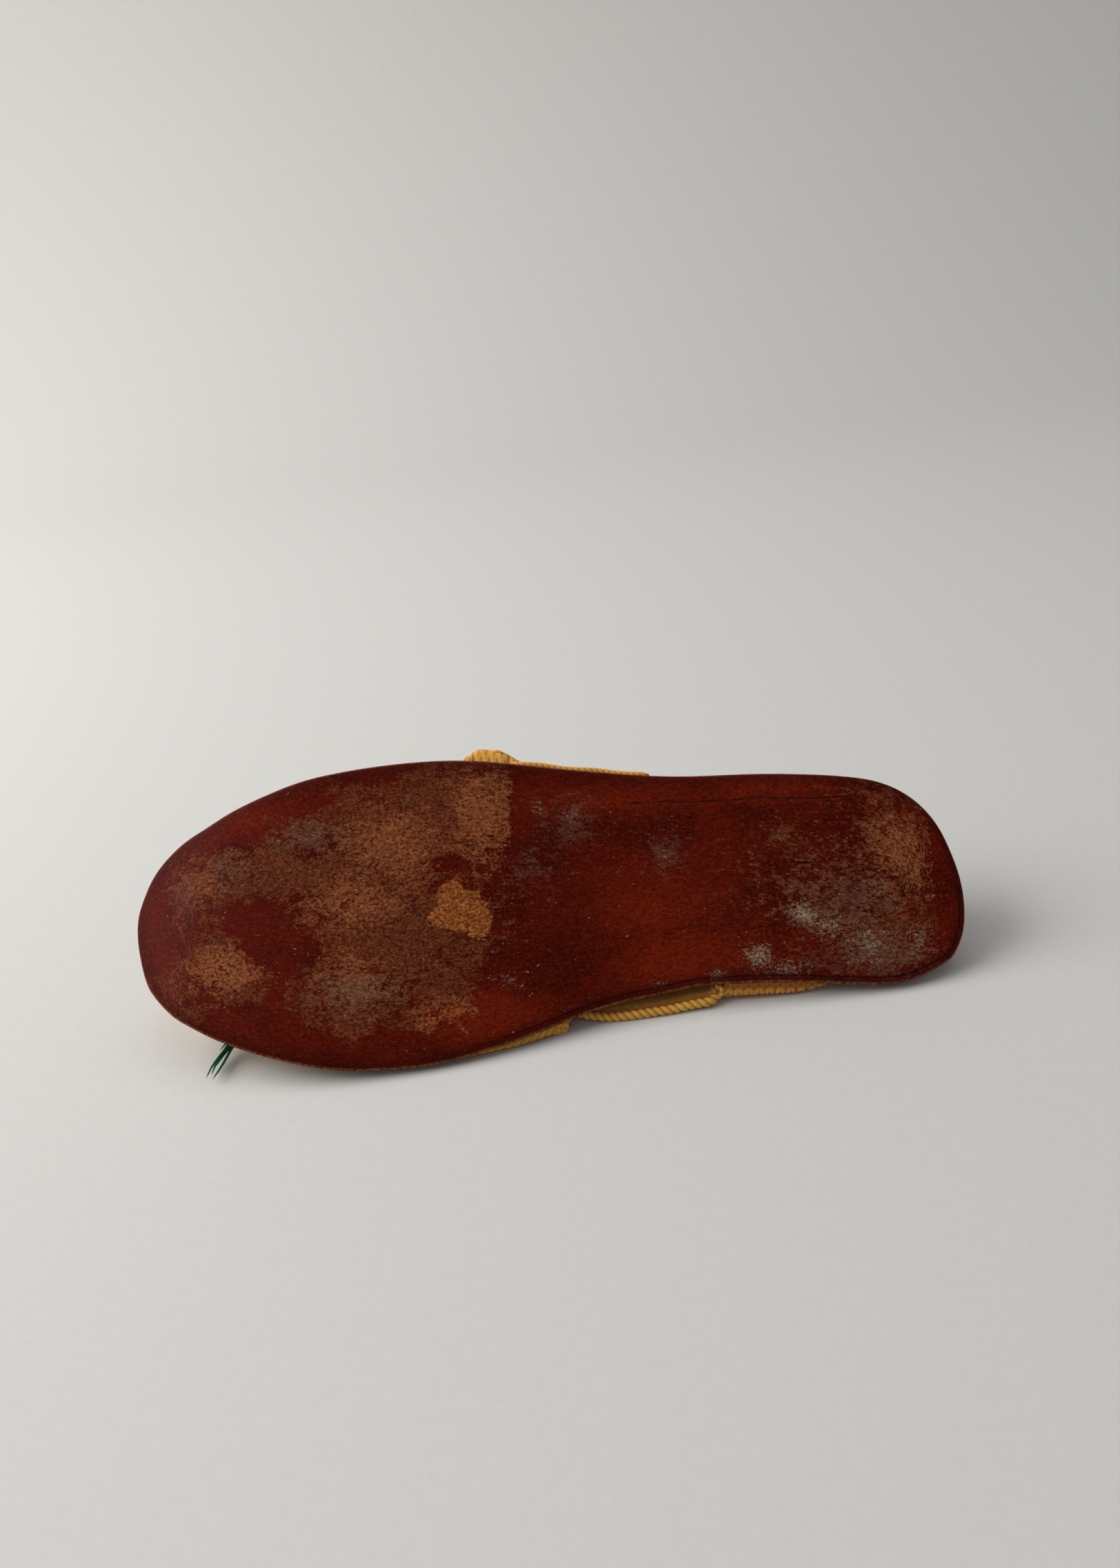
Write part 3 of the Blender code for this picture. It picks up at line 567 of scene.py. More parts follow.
toe_sheen = ramp(tree, total(s_out, spread(middle, 16.0), maths(tree, "MULTIPLY", side_out, 0.12)), 232.0, 246.0)
base = blend_of(tree, maths(tree, "MULTIPLY", toe_sheen, 0.30), base, linear("6c2c26"))
base = blend_of(tree, ramp(tree, rim_out, 1.2, 6.0, 0.5, 0.0), base, linear("380c06"))
marks = total(mark(27, 106, 32.5, 0.55, 2.5, 0.9), mark(40, 56, 11.2, 0.5, 3.0, 1.3), mark(60, 160, -30.5, 0.3, 2.0, 0.4))
rim_line = maths(tree, "MULTIPLY", ramp(tree, maths(tree, "ABSOLUTE", total(rim_out, -1.9)), 0.45, 0.0),
                 maths(tree, "MULTIPLY", ramp(tree, side_out, 5.0, -5.0), ramp(tree, s_out, 165.0, 130.0)))
base = blend_of(tree, maths(tree, "MINIMUM", total(marks, maths(tree, "MULTIPLY", rim_line, 0.8)), 1.0), base, linear("180302"))
grit = noise_of(tree, place, 0.75, 6, 0.88)
gain = total(1.06, maths(tree, "MULTIPLY", spread(grit, 1.0), total(3.8, maths(tree, "MULTIPLY", scuffed, 2.8))))
base = blend_of(tree, 1.0, base, maths(tree, "MAXIMUM", gain, 0.25), "MULTIPLY")
fuzz = maths(tree, "MULTIPLY", ramp(tree, rim_out, 0.9, 0.1), maths(tree, "MULTIPLY", ramp(tree, side_out, 5.0, 25.0), ramp(tree, s_out, 90.0, 150.0)))
base = blend_of(tree, maths(tree, "MULTIPLY", fuzz, ramp(tree, fine, 0.35, 0.6)), base, linear("a8785e"))
cut_edge = maths(tree, "MULTIPLY", ramp(tree, height.outputs[0], 0.35, 0.9), ramp(tree, height.outputs[0], 4.1, 3.9))
nicks = noise_of(tree, add(tree, "ShaderNodeTexCoord").outputs["Object"], 800.0, 5, 0.75)
edge_tone = blend_of(tree, ramp(tree, nicks, 0.36, 0.64), linear("461c10"), linear("965a3c"))
base = blend_of(tree, cut_edge, base, edge_tone)
inside = ramp(tree, height.outputs[0], 3.7, 3.95)
unworn = blend_of(tree, cloud, linear("6a3018"), linear("84431f"))
unworn = blend_of(tree, ramp(tree, nicks, 0.5, 0.75, 0.0, 0.5), unworn, linear("4a1e10"))
base = blend_of(tree, inside, base, unworn)
tree.links.new(base, shader.inputs["Base Color"])
rough = total(maths(tree, "MULTIPLY", scuffed, 0.26), maths(tree, "MULTIPLY", fine, 0.14), 0.36)
tree.links.new(maths(tree, "MAXIMUM", rough, maths(tree, "MULTIPLY", maths(tree, "MAXIMUM", patched, flaked), 0.8)),
               shader.inputs["Roughness"])
shader.inputs["IOR"].default_value = 1.5
shader.inputs["Specular IOR Level"].default_value = 0.03
depth = maths(tree, "ADD", maths(tree, "MULTIPLY", grain, 0.5), maths(tree, "MULTIPLY", fine, 0.6))
depth = maths(tree, "ADD", depth, maths(tree, "MULTIPLY", patched, -0.8))
depth = maths(tree, "ADD", depth, maths(tree, "MULTIPLY", flaked, 0.6))
depth = total(depth, maths(tree, "MULTIPLY", cut_edge, maths(tree, "MULTIPLY", nicks, 1.6)), maths(tree, "MULTIPLY", marks, -1.5), maths(tree, "MULTIPLY", rim_line, -1.0))
bump = add(tree, "ShaderNodeBump", {"Strength": 0.5, "Distance": 0.0004, "Height": depth})
tree.links.new(bump.outputs[0], shader.inputs["Normal"])
sole_piece = piece("outsole_leather", [(points, {"place": facts, "wear": wear, "tint": tint, "level": faces}, 0)],
                   [sole_material], "sole")

# Knitted upper
STITCH_LONG, STITCH_WIDE = 2.4, 1.7
FINE_CELL = 0.00058


def bumps(p, q, long, wide, lean=0.0):
    """Height 0 to 1 of plump stitches in staggered rows, p along a row and q over the rows, in millimetres."""
    q = q + lean * p
    row = np.floor(q / wide)
    over = q / wide - row
    at = p / long + 0.5 * (row % 2) + 0.13 * np.sin(row * 2.1)
    along = at - np.floor(at)
    return np.sin(np.pi * over) ** 0.7 * (0.25 + 0.75 * np.sin(np.pi * along) ** 0.9)


def chevrons(p, q, long, wide):
    """Height of stocking stitches: slanting pairs that meet in columns."""
    column = q / wide
    over = column - np.floor(column)
    side = np.abs(over - 0.5) * 2
    at = p / long + 0.55 * side
    along = at - np.floor(at)
    return np.sin(np.pi * along) ** 0.8 * (1 - 0.8 * (1 - side) ** 4) * (1 - 0.7 * side**8)


def lengths(points, axis):
    """Distance along one axis of a grid, from its first row, in millimetres."""
    gaps = np.linalg.norm(np.diff(points, axis=axis), axis=-1) * 1000
    zero = np.zeros_like(np.take(gaps, [0], axis=axis))
    return np.concatenate([zero, np.cumsum(gaps, axis=axis)], axis=axis)


def edge_taper(count, cells=3):
    """1 inside, rounded down to 0 at both ends of a row of count points."""
    at = np.minimum(np.arange(count), np.arange(count)[::-1])
    near = np.clip(1 - at / cells, 0, 1)
    return np.sqrt(1 - near**2)


BACK_EVERY = 4


def behind(values):
    """The far face's columns, back from the last edge to the first, one in BACK_EVERY of them."""
    return values[:, ::-1][:, BACK_EVERY::BACK_EVERY]


def cloth(middle, thick, relief_out, relief_in, facts):
    """A closed wall round a middle surface, its faces raised by the relief and its edges rounded."""
    normal = normals_of(middle)
    taper = edge_taper(middle.shape[0])[:, None] * edge_taper(middle.shape[1])[None, :]
    outer = middle + normal * ((thick / 2 + relief_out) * taper)[..., None]
    inner = middle - normal * ((thick / 2 + relief_in) * taper)[..., None]
    points = np.concatenate([outer, behind(inner)], axis=1)
    back = behind(facts).copy()
    back[..., 2] = -back[..., 2]
    return points, np.concatenate([facts, back], axis=1)


def zone_of(panel, deep):
    """Both faces' attribute: 1 on a side panel, then how high each spot stands in its stitch, which sets the yarn's
    painted shade.
    """
    zone = np.stack([panel, deep, 0 * deep], -1)
    return np.concatenate([zone, behind(zone)], axis=1)


def vamp_surface():
    coarse = []
    for k in np.linspace(0, 1, 61):
        share = VAMP_TOE - (VAMP_TOE - VAMP_REAR) * (0.75 * k + 0.25 * (1 - math.cos(math.pi / 2 * k)))
        coarse.append([vamp_point(share, degrees) for degrees in np.linspace(0, 180, 61)])
    return np.array([[tuple(p) for p in row] for row in coarse])


coarse = vamp_surface()
middle = refine(coarse, 300, 208)
if normals_of(middle)[150, 104, 2] < 0:
    middle = middle[:, ::-1]
down = lengths(middle, 0)
over = lengths(middle, 1)
crest = over - over[:, 104:105]
p_mm, q_mm = crest, middle[..., 0] * -1000
deep = bumps(p_mm, q_mm, STITCH_LONG, STITCH_WIDE)
relief = 0.00075 * deep
near_foot = np.clip((middle[..., 2] - middle[:, :1, 2]) * 1000 / 2.0, 0, 1)
facts = np.stack([p_mm, q_mm, np.ones_like(p_mm)], -1)
wall = cloth(middle, KNIT_THICK - 0.0006, relief - 0.0001, 0 * relief, facts)
floor_of = np.array([[sole_top(x) for x in row] for row in wall[0][:, :, 0]]) + GAP
wall[0][..., 2] = np.maximum(wall[0][..., 2], floor_of)
vamp_grid = (wall[0], {"place": wall[1], "zone": zone_of(0 * deep, deep)}, 0)

# Strap, side panels and heel band, one length of knitting from corner to corner
joins = [[vamp_point(VAMP_REAR, degrees) for degrees in angles()][lateral_first : lateral_first + join_cells + 1]]
rear_row = [vamp_point(VAMP_REAR, degrees) for degrees in angles()]
last = len(rear_row) - 1
joins.append([rear_row[last - medial_first - j] for j in range(join_cells + 1)])


def strap_row(way):
    near = max(0.0, 1 - min(way, 2 - way) / 0.16)
    held = near * near * (3 - 2 * near)
    join = joins[0] if way < 1 else joins[1]
    end = 0.0 if way < 1 else 2.0
    row = []
    for j in range(join_cells + 1):
        shift = join[j] - strap_point(end, j / join_cells)
        row.append(tuple(strap_point(way, j / join_cells) + shift * held))
    return row


strap_coarse = np.array([strap_row(2 * k / 144) for k in range(145)])
lead_in = strap_coarse[0] + (strap_coarse[0] - strap_coarse[1]) * 1.2
lead_out = strap_coarse[-1] + (strap_coarse[-1] - strap_coarse[-2]) * 1.2
strap_coarse = np.concatenate([[lead_in], strap_coarse, [lead_out]])
strap = refine(strap_coarse, 680, 44)
ways = np.interp(np.linspace(0, 146, 681), range(147), [-0.0167] + [2 * k / 144 for k in range(145)] + [2.0167])
outward = normals_of(strap)[340, 22]
if outward[0] < 0:
    strap = strap[:, ::-1]
p_mm = lengths(strap, 0).mean(axis=1)[:, None] + 0 * strap[..., 0]
q_mm = lengths(strap, 1)
local = np.minimum(ways, 2 - ways)
panel = np.clip((local - 0.36) / 0.006, 0, 1) * np.clip((0.600 - local) / 0.006, 0, 1)
panel = np.broadcast_to(panel[:, None], q_mm.shape)
net = bumps(p_mm, q_mm, 3.0, 1.9)
stocking = chevrons(q_mm, p_mm, 2.1, 3.3)
deep = net * (1 - panel) + stocking * panel
relief = 0.00075 * deep
facts = np.stack([p_mm, q_mm, np.ones_like(p_mm)], -1)
wall = cloth(strap, KNIT_THICK - 0.0006, relief, relief, facts)
floor_of = np.array([[sole_top(x) for x in row] for row in wall[0][:, :, 0]]) + GAP
wall[0][..., 2] = np.maximum(wall[0][..., 2], floor_of)
strap_grid = (wall[0], {"place": wall[1], "zone": zone_of(panel, deep)}, 0)


def yarn_surface(name, tones, relief_scale=1.0, sheen=0.35):
    """Spun yarn: matt, with a soft fibre halo, and painted shade darker down between the stitches and plies."""
    tree, shader, made = new_material(name)
    place = add(tree, "ShaderNodeAttribute", attribute_name="place").outputs["Vector"]
    fibre = noise_of(tree, stretched(tree, place, (1.0, 3.0, 1.0)), 2.2, 4, 0.7)
    cloud = noise_of(tree, place, 0.12, 3)
    tone = blend_of(tree, ramp(tree, cloud, 0.35, 0.65), linear(tones[0]), linear(tones[1]))
    tone = blend_of(tree, ramp(tree, fibre, 0.40, 0.70, 0.0, 0.6), tone, linear(tones[2]))
    zone = add(tree, "ShaderNodeSeparateXYZ", {0: add(tree, "ShaderNodeAttribute", attribute_name="zone").outputs["Vector"]})
    tone = blend_of(tree, maths(tree, "MULTIPLY", zone.outputs[0], 0.6), tone, linear("c8742a"))
    # Painted shade: the fourth tone darkens the low spots between stitches and between plies, by how low each lies
    tone = blend_of(tree, ramp(tree, zone.outputs[1], 0.75, 0.05, 0.0, 0.75), tone, linear(tones[3]))
    tree.links.new(tone, shader.inputs["Base Color"])
    shader.inputs["Roughness"].default_value = 0.92
    shader.inputs["Sheen Weight"].default_value = sheen
    shader.inputs["Sheen Roughness"].default_value = 0.6
    shader.inputs["Sheen Tint"].default_value = linear(tones[1])
    bump = add(tree, "ShaderNodeBump", {"Strength": 0.5 * relief_scale, "Distance": 0.0003, "Height": fibre})
    tree.links.new(bump.outputs[0], shader.inputs["Normal"])
    return tree, shader, made


knit_material = yarn_surface("mercerised_cotton_knit", ("e2a23c", "eeb452", "c07c24", "7a3e0c"))[2]

# Bright cords of the same yarn: hem of the vamp, low edge of the strap, ends of the panels


def carried_frames(path):
    """Two directions across a path at each point, carried along without twisting."""
    along = np.gradient(path, axis=0)
    along /= np.linalg.norm(along, axis=1, keepdims=True)
    side = np.cross(along[0], [0.3, 0.2, 1.0])
    sides = []
    for step in along:
        side = side - step * side.dot(step)
        side = side / np.linalg.norm(side)
        sides.append(side)
    sides = np.array(sides)
    return sides, np.cross(along, sides)


def dense(path, count):
    """The path drawn with this many even steps, smoothly."""
    path = refine(np.asarray(path, float)[:, None], 8 * (len(path) - 1), 0)[:, 0] if len(path) < 200 else np.asarray(path)
    run = np.concatenate([[0], np.cumsum(np.linalg.norm(np.diff(path, axis=0), axis=1))])
    at = np.linspace(0, run[-1], count + 1)
    return np.stack([np.interp(at, run, path[:, k]) for k in range(3)], -1), at


def yarn_tube(path, radius, count, sides=12, strands=0, lay=0.0, depth=0.25, number=0, taper=3):
    """A closed tube on a path; with strands, its surface is that many plies twisted at a lay, in metres a turn."""
    path, run = dense(path, count)
    side, other = carried_frames(path)
    turn = np.linspace(0, 2 * np.pi, sides + 1)[None, :]
    thick = np.full((count + 1, sides + 1), radius)
    ply = np.ones_like(thick)
    if strands:
        ply = np.abs(np.sin((turn * strands - run[:, None] / lay * 2 * np.pi * strands) / 2)) ** 0.8
        thick = radius * (1 - depth + depth * ply)
    thick = thick * edge_taper(count + 1, taper)[:, None]
    out = side[:, None] * np.cos(turn)[..., None] + other[:, None] * np.sin(turn)[..., None]
    points = path[:, None] + out * thick[..., None]
    facts = np.stack([np.broadcast_to(run[:, None] * 1000, thick.shape), thick * 0 + np.sin(turn) * radius * 2000,
                      thick * 0 + np.cos(turn) * radius * 2000], -1)
    zone = np.stack([0 * ply, ply, 0 * ply], -1)
    return points, {"place": facts, "zone": zone}, number


hem_path = []
for degrees in np.linspace(4, 176, 90):
    hem_path.append(vamp_point(VAMP_REAR, degrees))
hem_path = np.array([tuple(p) for p in hem_path])
hem = yarn_tube(hem_path, 0.00175, 420, 12, 2, 0.0050, 0.30)


# Seam margin of the knitting, pulled out past the sole at the vamp's rear corners: share, out and up in millimetres
MARGIN_LATERAL = [(0.500, -4.5, 0.0), (0.520, 0.6, 0.4), (0.536, 3.2, 1.0), (0.556, 5.6, 1.6), (0.580, 5.8, 1.6),
                  (0.600, 2.4, 1.0), (0.628, -4.5, 0.0)]
MARGIN_MEDIAL = [(0.470, -2.0, 0.0), (0.492, 2.6, 1.0), (0.520, 2.6, 1.0), (0.560, 1.6, 0.6), (0.600, 0.5, 0.2),
                 (0.640, -4.0, 0.0)]


def seam_margin(table, side):
    rows = []
    for share in np.linspace(table[0][0], table[-1][0], 70):
        x = SOLE_LENGTH * (0.5 - share)
        half = abs(half_width(share, side))
        out, up = curve(table, 1, share) / 1000, curve(table, 2, share) / 1000
        near, far = half - 0.0062, half + out
        rows.append([(x, side * (near + (far - near) * v), sole_top(x) + GAP + 0.0010 + (up - 0.0006) * v * v)
                     for v in np.linspace(0, 1, 7)])
    middle = refine(np.array(rows), 120, 24)
    if normals_of(middle)[60, 12, 2] < 0:
        middle = middle[:, ::-1]
    p_mm, q_mm = lengths(middle, 0), lengths(middle, 1)
    deep = bumps(p_mm, q_mm, 2.6, 1.8)
    facts = np.stack([p_mm, q_mm, np.ones_like(p_mm)], -1)
    wall = cloth(middle, 0.0018, 0.0007 * deep, 0.0007 * deep, facts)
    return wall[0], {"place": wall[1], "zone": zone_of(0 * deep, deep)}, 0


def tuft(centre, size, count, seed):
    """A knot of yarn ends: short looped tubes about a centre."""
    random = np.random.default_rng(seed)
    loops = []
    for k in range(count):
        start = random.uniform(0, 2 * math.pi)
        tilt = random.uniform(-0.9, 0.9)
        reach = random.uniform(0.6, 1.0)
        path = []
        for s in np.linspace(0, 1.5 * math.pi, 12):
            turn = np.array([math.cos(start + s), math.sin(start + s) * math.cos(tilt), math.sin(start + s) * math.sin(tilt)])
            path.append(centre + turn * size * reach * (0.7 + 0.3 * math.cos(3 * s + k)))
        loops.append(yarn_tube(np.array(path), 0.0010, 40, 8, 2, 0.0034, 0.3, 0, 2))
    return loops


def edge_place(share, side, out, up):
    x = SOLE_LENGTH * (0.5 - share)
    return np.array([x, side * (abs(half_width(share, side)) + out), sole_top(x) + up])


extras = [seam_margin(MARGIN_LATERAL, -1), seam_margin(MARGIN_MEDIAL, 1)]
extras += tuft(edge_place(0.568, -1, 0.0034, 0.0022), np.array([0.0046, 0.0020, 0.0016]), 9, 3)
extras += tuft(edge_place(0.492, 1, 0.0006, 0.0022), np.array([0.0030, 0.0022, 0.0022]), 9, 5)

# Twisted bright edge along the strap's outermost line, and a cord across each panel end
score = strap[..., 1] * 0.951 + strap[..., 2] * 0.309
normal = normals_of(strap)
edge_line = []
for k in range(0, 681, 3):
    if 1.0 < ways[k] < 2.0 and 0.03 < 2 - ways[k] < 0.365:
        j = int(np.argmax(score[k]))
        edge_line.append(strap[k, j] + np.array([0.0, 0.0009, 0.0003]))
edge_line = np.array(edge_line)
for _ in range(3):
    edge_line[1:-1] = (edge_line[:-2] + edge_line[1:-1] * 2 + edge_line[2:]) / 4
extras.append(yarn_tube(edge_line, 0.00145, 300, 12, 2, 0.0046, 0.35))
hem_line = [edge_place(share, -1, 0.0008 + 0.0002 * math.sin(90 * share), -0.0004) for share in np.linspace(0.369, 0.545, 30)]
extras.append(yarn_tube(np.array(hem_line), 0.0012, 220, 10, 2, 0.0040, 0.3, 0, 24))
for at in (0.362, 0.598):
    for side in (-1, 1):
        k = int(np.argmin(np.abs(ways - (at if side < 0 else 2 - at))))
        line = np.concatenate([strap[k, 1:-1] + normal[k, 1:-1] * (KNIT_THICK / 2), (strap[k, 1:-1] - normal[k, 1:-1] * (KNIT_THICK / 2))[::-1]])
        extras.append(yarn_tube(np.concatenate([line, line[:2]]), 0.0010, 120, 10, 2, 0.0036, 0.3))
vamp_piece = piece("knitted_vamp", [vamp_grid, hem], [knit_material], "upper")
strap_piece = piece("knitted_strap", [strap_grid] + extras, [knit_material], "upper")

# Rope along the collar edge: three yellow plies, with a blue yarn and a thinner red one wound round it
high_edge = strap[:, -1] if strap[340, -1, 2] > strap[340, 0, 2] else strap[:, 0]
below_edge = strap[:, -4] if strap[340, -1, 2] > strap[340, 0, 2] else strap[:, 3]
rope_path = []
for k in range(3 * 680 // 146 * 2, 681 - 3 * 680 // 146 * 2, 3):
    along = high_edge[k + 2] - high_edge[k - 2]
    along /= np.linalg.norm(along)
    rise = high_edge[k] - below_edge[k]
    rise -= along * rise.dot(along)
    rise /= np.linalg.norm(rise)
    rope_path.append(high_edge[k] + rise * (CORD_RADIUS + GAP + 0.0002))
rope_path = np.array(rope_path)
rope = yarn_tube(rope_path, CORD_RADIUS, 900, 18, 3, 0.0150, 0.30, 0)
WRAP_PITCH = 0.0130


def wound(path, away, phase, pitch, steps=16):
    """A path wound round another, this far out, once every pitch."""
    path, run = dense(path, 700)
    side, other = carried_frames(path)
    angle = phase + run / pitch * 2 * np.pi
    return path + side * (np.cos(angle) * away)[:, None] + other * (np.sin(angle) * away)[:, None]


wraps = []
for offset, radius, number in ((0.0, 0.00110, 1), (0.0019, 0.00110, 1), (0.0037, 0.00085, 2)):
    spiral = wound(rope_path[2:-2], CORD_RADIUS - 0.0002, offset / WRAP_PITCH * 2 * np.pi, WRAP_PITCH)
    wraps.append(yarn_tube(spiral, radius, 1700, 8, 2, 0.0030, 0.25, number))
rope_yellow = yarn_surface("three_ply_cotton_rope", ("dc9a34", "ecb24e", "c07c24", "7a3e0c"))[2]
yarn_blue = yarn_surface("dyed_wool_blue", ("5b7d96", "7396ae", "41607a", "1c3040"))[2]
yarn_red = yarn_surface("dyed_wool_red", ("b41418", "d02420", "8a0c12", "3c0408"))[2]
rope_piece = piece("collar_rope", [rope] + wraps, [rope_yellow, yarn_blue, yarn_red], "collar_cord")

# Suede heel pad with a soft rounded edge
pad_rows = []
for k in range(101):
    share = PAD_INSET / SOLE_LENGTH + (PAD_REACH - PAD_INSET / SOLE_LENGTH) * (1 - math.cos(math.pi * k / 100)) / 2
    x = SOLE_LENGTH * (0.5 - share)
    low, high = inset_y(PAD_EDGE, share, -1), inset_y(PAD_EDGE, share, 1)
    pad_rows.append([(x, low + (high - low) * (1 - math.cos(math.pi * j / 48)) / 2, sole_top(x) + GAP + PAD_THICK / 2)
                     for j in range(49)])
pad_middle = np.array(pad_rows)
if normals_of(pad_middle)[50, 24, 2] < 0:
    pad_middle = pad_middle[:, ::-1]
facts = np.stack([130 - pad_middle[..., 0] * 1000, -pad_middle[..., 1] * 1000, np.ones(pad_middle.shape[:2])], -1)
wall = cloth(pad_middle, PAD_THICK, 0.0, 0.0, facts)
tree, shader, suede = new_material("split_suede")
# Pale split suede: matt short nap, flecked darker in its nap
place = add(tree, "ShaderNodeAttribute", attribute_name="place").outputs["Vector"]
cloud = noise_of(tree, place, 0.08, 4)
nap = noise_of(tree, place, 2.4, 4, 0.7)
tone = blend_of(tree, ramp(tree, cloud, 0.35, 0.65), linear("b8a078"), linear("cdb896"))
tree.links.new(blend_of(tree, ramp(tree, nap, 0.35, 0.75, 0.0, 0.45), tone, linear("8f7c5c")), shader.inputs["Base Color"])
shader.inputs["Roughness"].default_value = 0.95
shader.inputs["Sheen Weight"].default_value = 0.3
bump = add(tree, "ShaderNodeBump", {"Strength": 0.4, "Distance": 0.0002, "Height": nap})
tree.links.new(bump.outputs[0], shader.inputs["Normal"])
pad_piece = piece("suede_pad", [(wall[0], {"place": wall[1]}, 0)], [suede], "heel_pad")

# Rosette: eight folded points wrapped in thread, chevron ribs on each, knots at the tips
ROSETTE_AT = (0.672, 76.0)
across_rate = (vamp_point(ROSETTE_AT[0], 82) - vamp_point(ROSETTE_AT[0], 70)).length / 12


def rosette_point(radius, turn, away):
    share = ROSETTE_AT[0] - radius * math.cos(turn) / SOLE_LENGTH
    degrees = ROSETTE_AT[1] + radius * math.sin(turn) / across_rate
    return vamp_outer(share, degrees, KNIT_THICK / 2 + 2 * GAP + away)


POINTS = 8
RIBS = 15
petal_grids, petal_tips = [], []
base_grid = []
for k in range(25):
    ring = k / 24
    base_grid.append([tuple(rosette_point(ROSETTE_RADIUS * 0.90 * ring, 2 * math.pi * j / 48,
                                          ROSETTE_HEIGHT * (0.06 + 0.45 * math.sqrt(max(0.0, 1 - ring**2)))))
                      for j in range(49)])
base_under = [[tuple(rosette_point(ROSETTE_RADIUS * 0.90 * (1 - k / 4), 2 * math.pi * j / 48, 0.0)) for j in range(49)]
              for k in range(5)]
base_points = np.concatenate([np.array(base_grid), np.array(base_under)])
base_facts = np.zeros_like(base_points)
base_facts[..., 0] = np.linspace(0, 30, len(base_points))[:, None]
petal_grids.append((base_points, {"place": base_facts}, 2))


def petal(middle_turn, start, reach, half, low, high, number):
    """A folded point: a pointed pad whose two flanks carry thread ribs in chevrons."""
    grid = []
    for i in range(106):
        u = i / 105
        radius = start + (reach - start) * u
        wide = half * min(1.0, 0.35 + 1.6 * u) * min(1.0, 2.1 * (1 - u) + 0.02) ** 0.8
        row = []
        for j in range(25):
            v = j / 24 * 2 * math.pi
            side = math.cos(v) * wide
            slant = abs(math.cos(v))
            rib = abs(math.sin(math.pi * (u * RIBS - 1.3 * slant * wide / half))) ** 0.6
            body = 0.0013 * min(1.0, wide / half + 0.15)
            up = math.sin(v) * body + (0.00042 * rib * math.sin(v) if v < math.pi else 0.0)
            lift = high + (low - high) * u**1.3 + 0.0006 * (1 - slant)
            row.append(tuple(rosette_point(math.hypot(radius, side), middle_turn + math.atan2(side, radius), max(0.0002, lift + up))))
        grid.append(row)
    points = np.array(grid)
    points[0] = points[0].mean(axis=0)
    points[-1] = points[-1].mean(axis=0)
    facts = np.zeros_like(points)
    facts[..., 0] = np.linspace(0, RIBS, 106)[:, None]
    facts[..., 1] = np.cos(np.linspace(0, 2 * math.pi, 25))[None, :]
    return points, {"place": facts}, number


for n in range(POINTS):
    turn = 2 * math.pi * n / POINTS
    petal_grids.append(petal(turn, 0.0030, 0.0152, 0.0040, 0.0012, 0.0036, n % 2))
    petal_grids.append(petal(turn + math.pi / POINTS, 0.0012, 0.0102, 0.0028, 0.0042, 0.0060, 1 - n % 2 if n % 4 else 2))
    petal_tips.append(np.array(tuple(rosette_point(0.0150, turn, 0.0016))))


def thread_material(name, tones):
    """Glossy embroidery thread wound in ribs, two tones by turns."""
    tree, shader, made = new_material(name)
    place = add(tree, "ShaderNodeSeparateXYZ", {0: add(tree, "ShaderNodeAttribute", attribute_name="place").outputs["Vector"]})
    v = maths(tree, "MULTIPLY", maths(tree, "ABSOLUTE", place.outputs[1]), -1.3)
    band = maths(tree, "FRACT", maths(tree, "MULTIPLY", maths(tree, "ADD", place.outputs[0], v), 0.3333))
    two = ramp(tree, band, 0.64, 0.68)
    tree.links.new(blend_of(tree, two, linear(tones[0]), linear(tones[1])), shader.inputs["Base Color"])
    shader.inputs["Roughness"].default_value = 0.55
    shader.inputs["Sheen Weight"].default_value = 0.4
    return made


threads = [thread_material("silk_thread_magenta", ("d0205c", "3a1560")),
           thread_material("silk_thread_purple", ("4a1a80", "c8285e")),
           thread_material("silk_thread_red", ("a01440", "2c1250"))]
cream = yarn_surface("undyed_cotton_knots", ("e2cfa0", "efe2c0", "b89a60", "8a6c3c"))[2]


def ball(centre, radius, number, squash=1.0, rows=10, sides=14):
    turn = np.linspace(0, 2 * np.pi, sides + 1)[None, :]
    tilt = np.linspace(0, np.pi, rows + 1)[:, None]
    points = np.stack([np.sin(tilt) * np.cos(turn), np.sin(tilt) * np.sin(turn), np.cos(tilt) * squash + 0 * turn], -1)
    return centre + points * radius, {"place": points * radius * 1000}, number


knots = [ball(tip, 0.00115, 3) for tip in petal_tips]
knots.append(ball(np.array(tuple(rosette_point(0.0, 0.0, 0.0062))), 0.0019, 0))
rosette_piece = piece("thread_rosette", petal_grids + knots, threads + [cream], "medallion")

# Clay beads, thrown, the round one painted with a plain zigzag and a red band, the barrel one plain
ROUND_AT = (0.572, 70.0)
round_centre = vamp_outer(*ROUND_AT, KNIT_THICK / 2 + GAP + BEAD_RADIUS * 0.96)
bead_axis = (vamp_point(0.572, 75) - vamp_point(0.572, 65)).normalized()
barrel_centre = vamp_outer(0.535, 49.0, KNIT_THICK / 2 + GAP + BARREL_RADIUS * 1.06)


def bead(centre, axis, half, radius, flat, number, rows=40, sides=64):
    """A turned bead with a bore, its attribute giving the turn and the place along the axis."""
    axis = axis.normalized()
    side = axis.orthogonal().normalized()
    other = axis.cross(side)
    points, facts = [], []
    for k in range(rows + 13):
        if k <= rows:
            angle = math.acos(1 - 2 * k / rows * (1 - flat) - flat) if False else math.pi * (flat + (1 - 2 * flat) * k / rows)
            along, out = -half * math.cos(angle) / math.cos(math.pi * flat), radius * math.sin(angle) ** 0.85
        else:
            w = (k - rows) / 12
            along, out = half * (1 - 2 * w), BEAD_BORE
        row, row_facts = [], []
        for j in range(sides + 1):
            a = 2 * math.pi * j / sides
            row.append(tuple(centre + axis * along + (side * math.cos(a) + other * math.sin(a)) * out))
            row_facts.append((math.cos(a), math.sin(a), along / half))
        points.append(row)
        facts.append(row_facts)
    points.append(points[0])
    facts.append(facts[0])
    return np.array(points), {"turned": np.array(facts)}, number


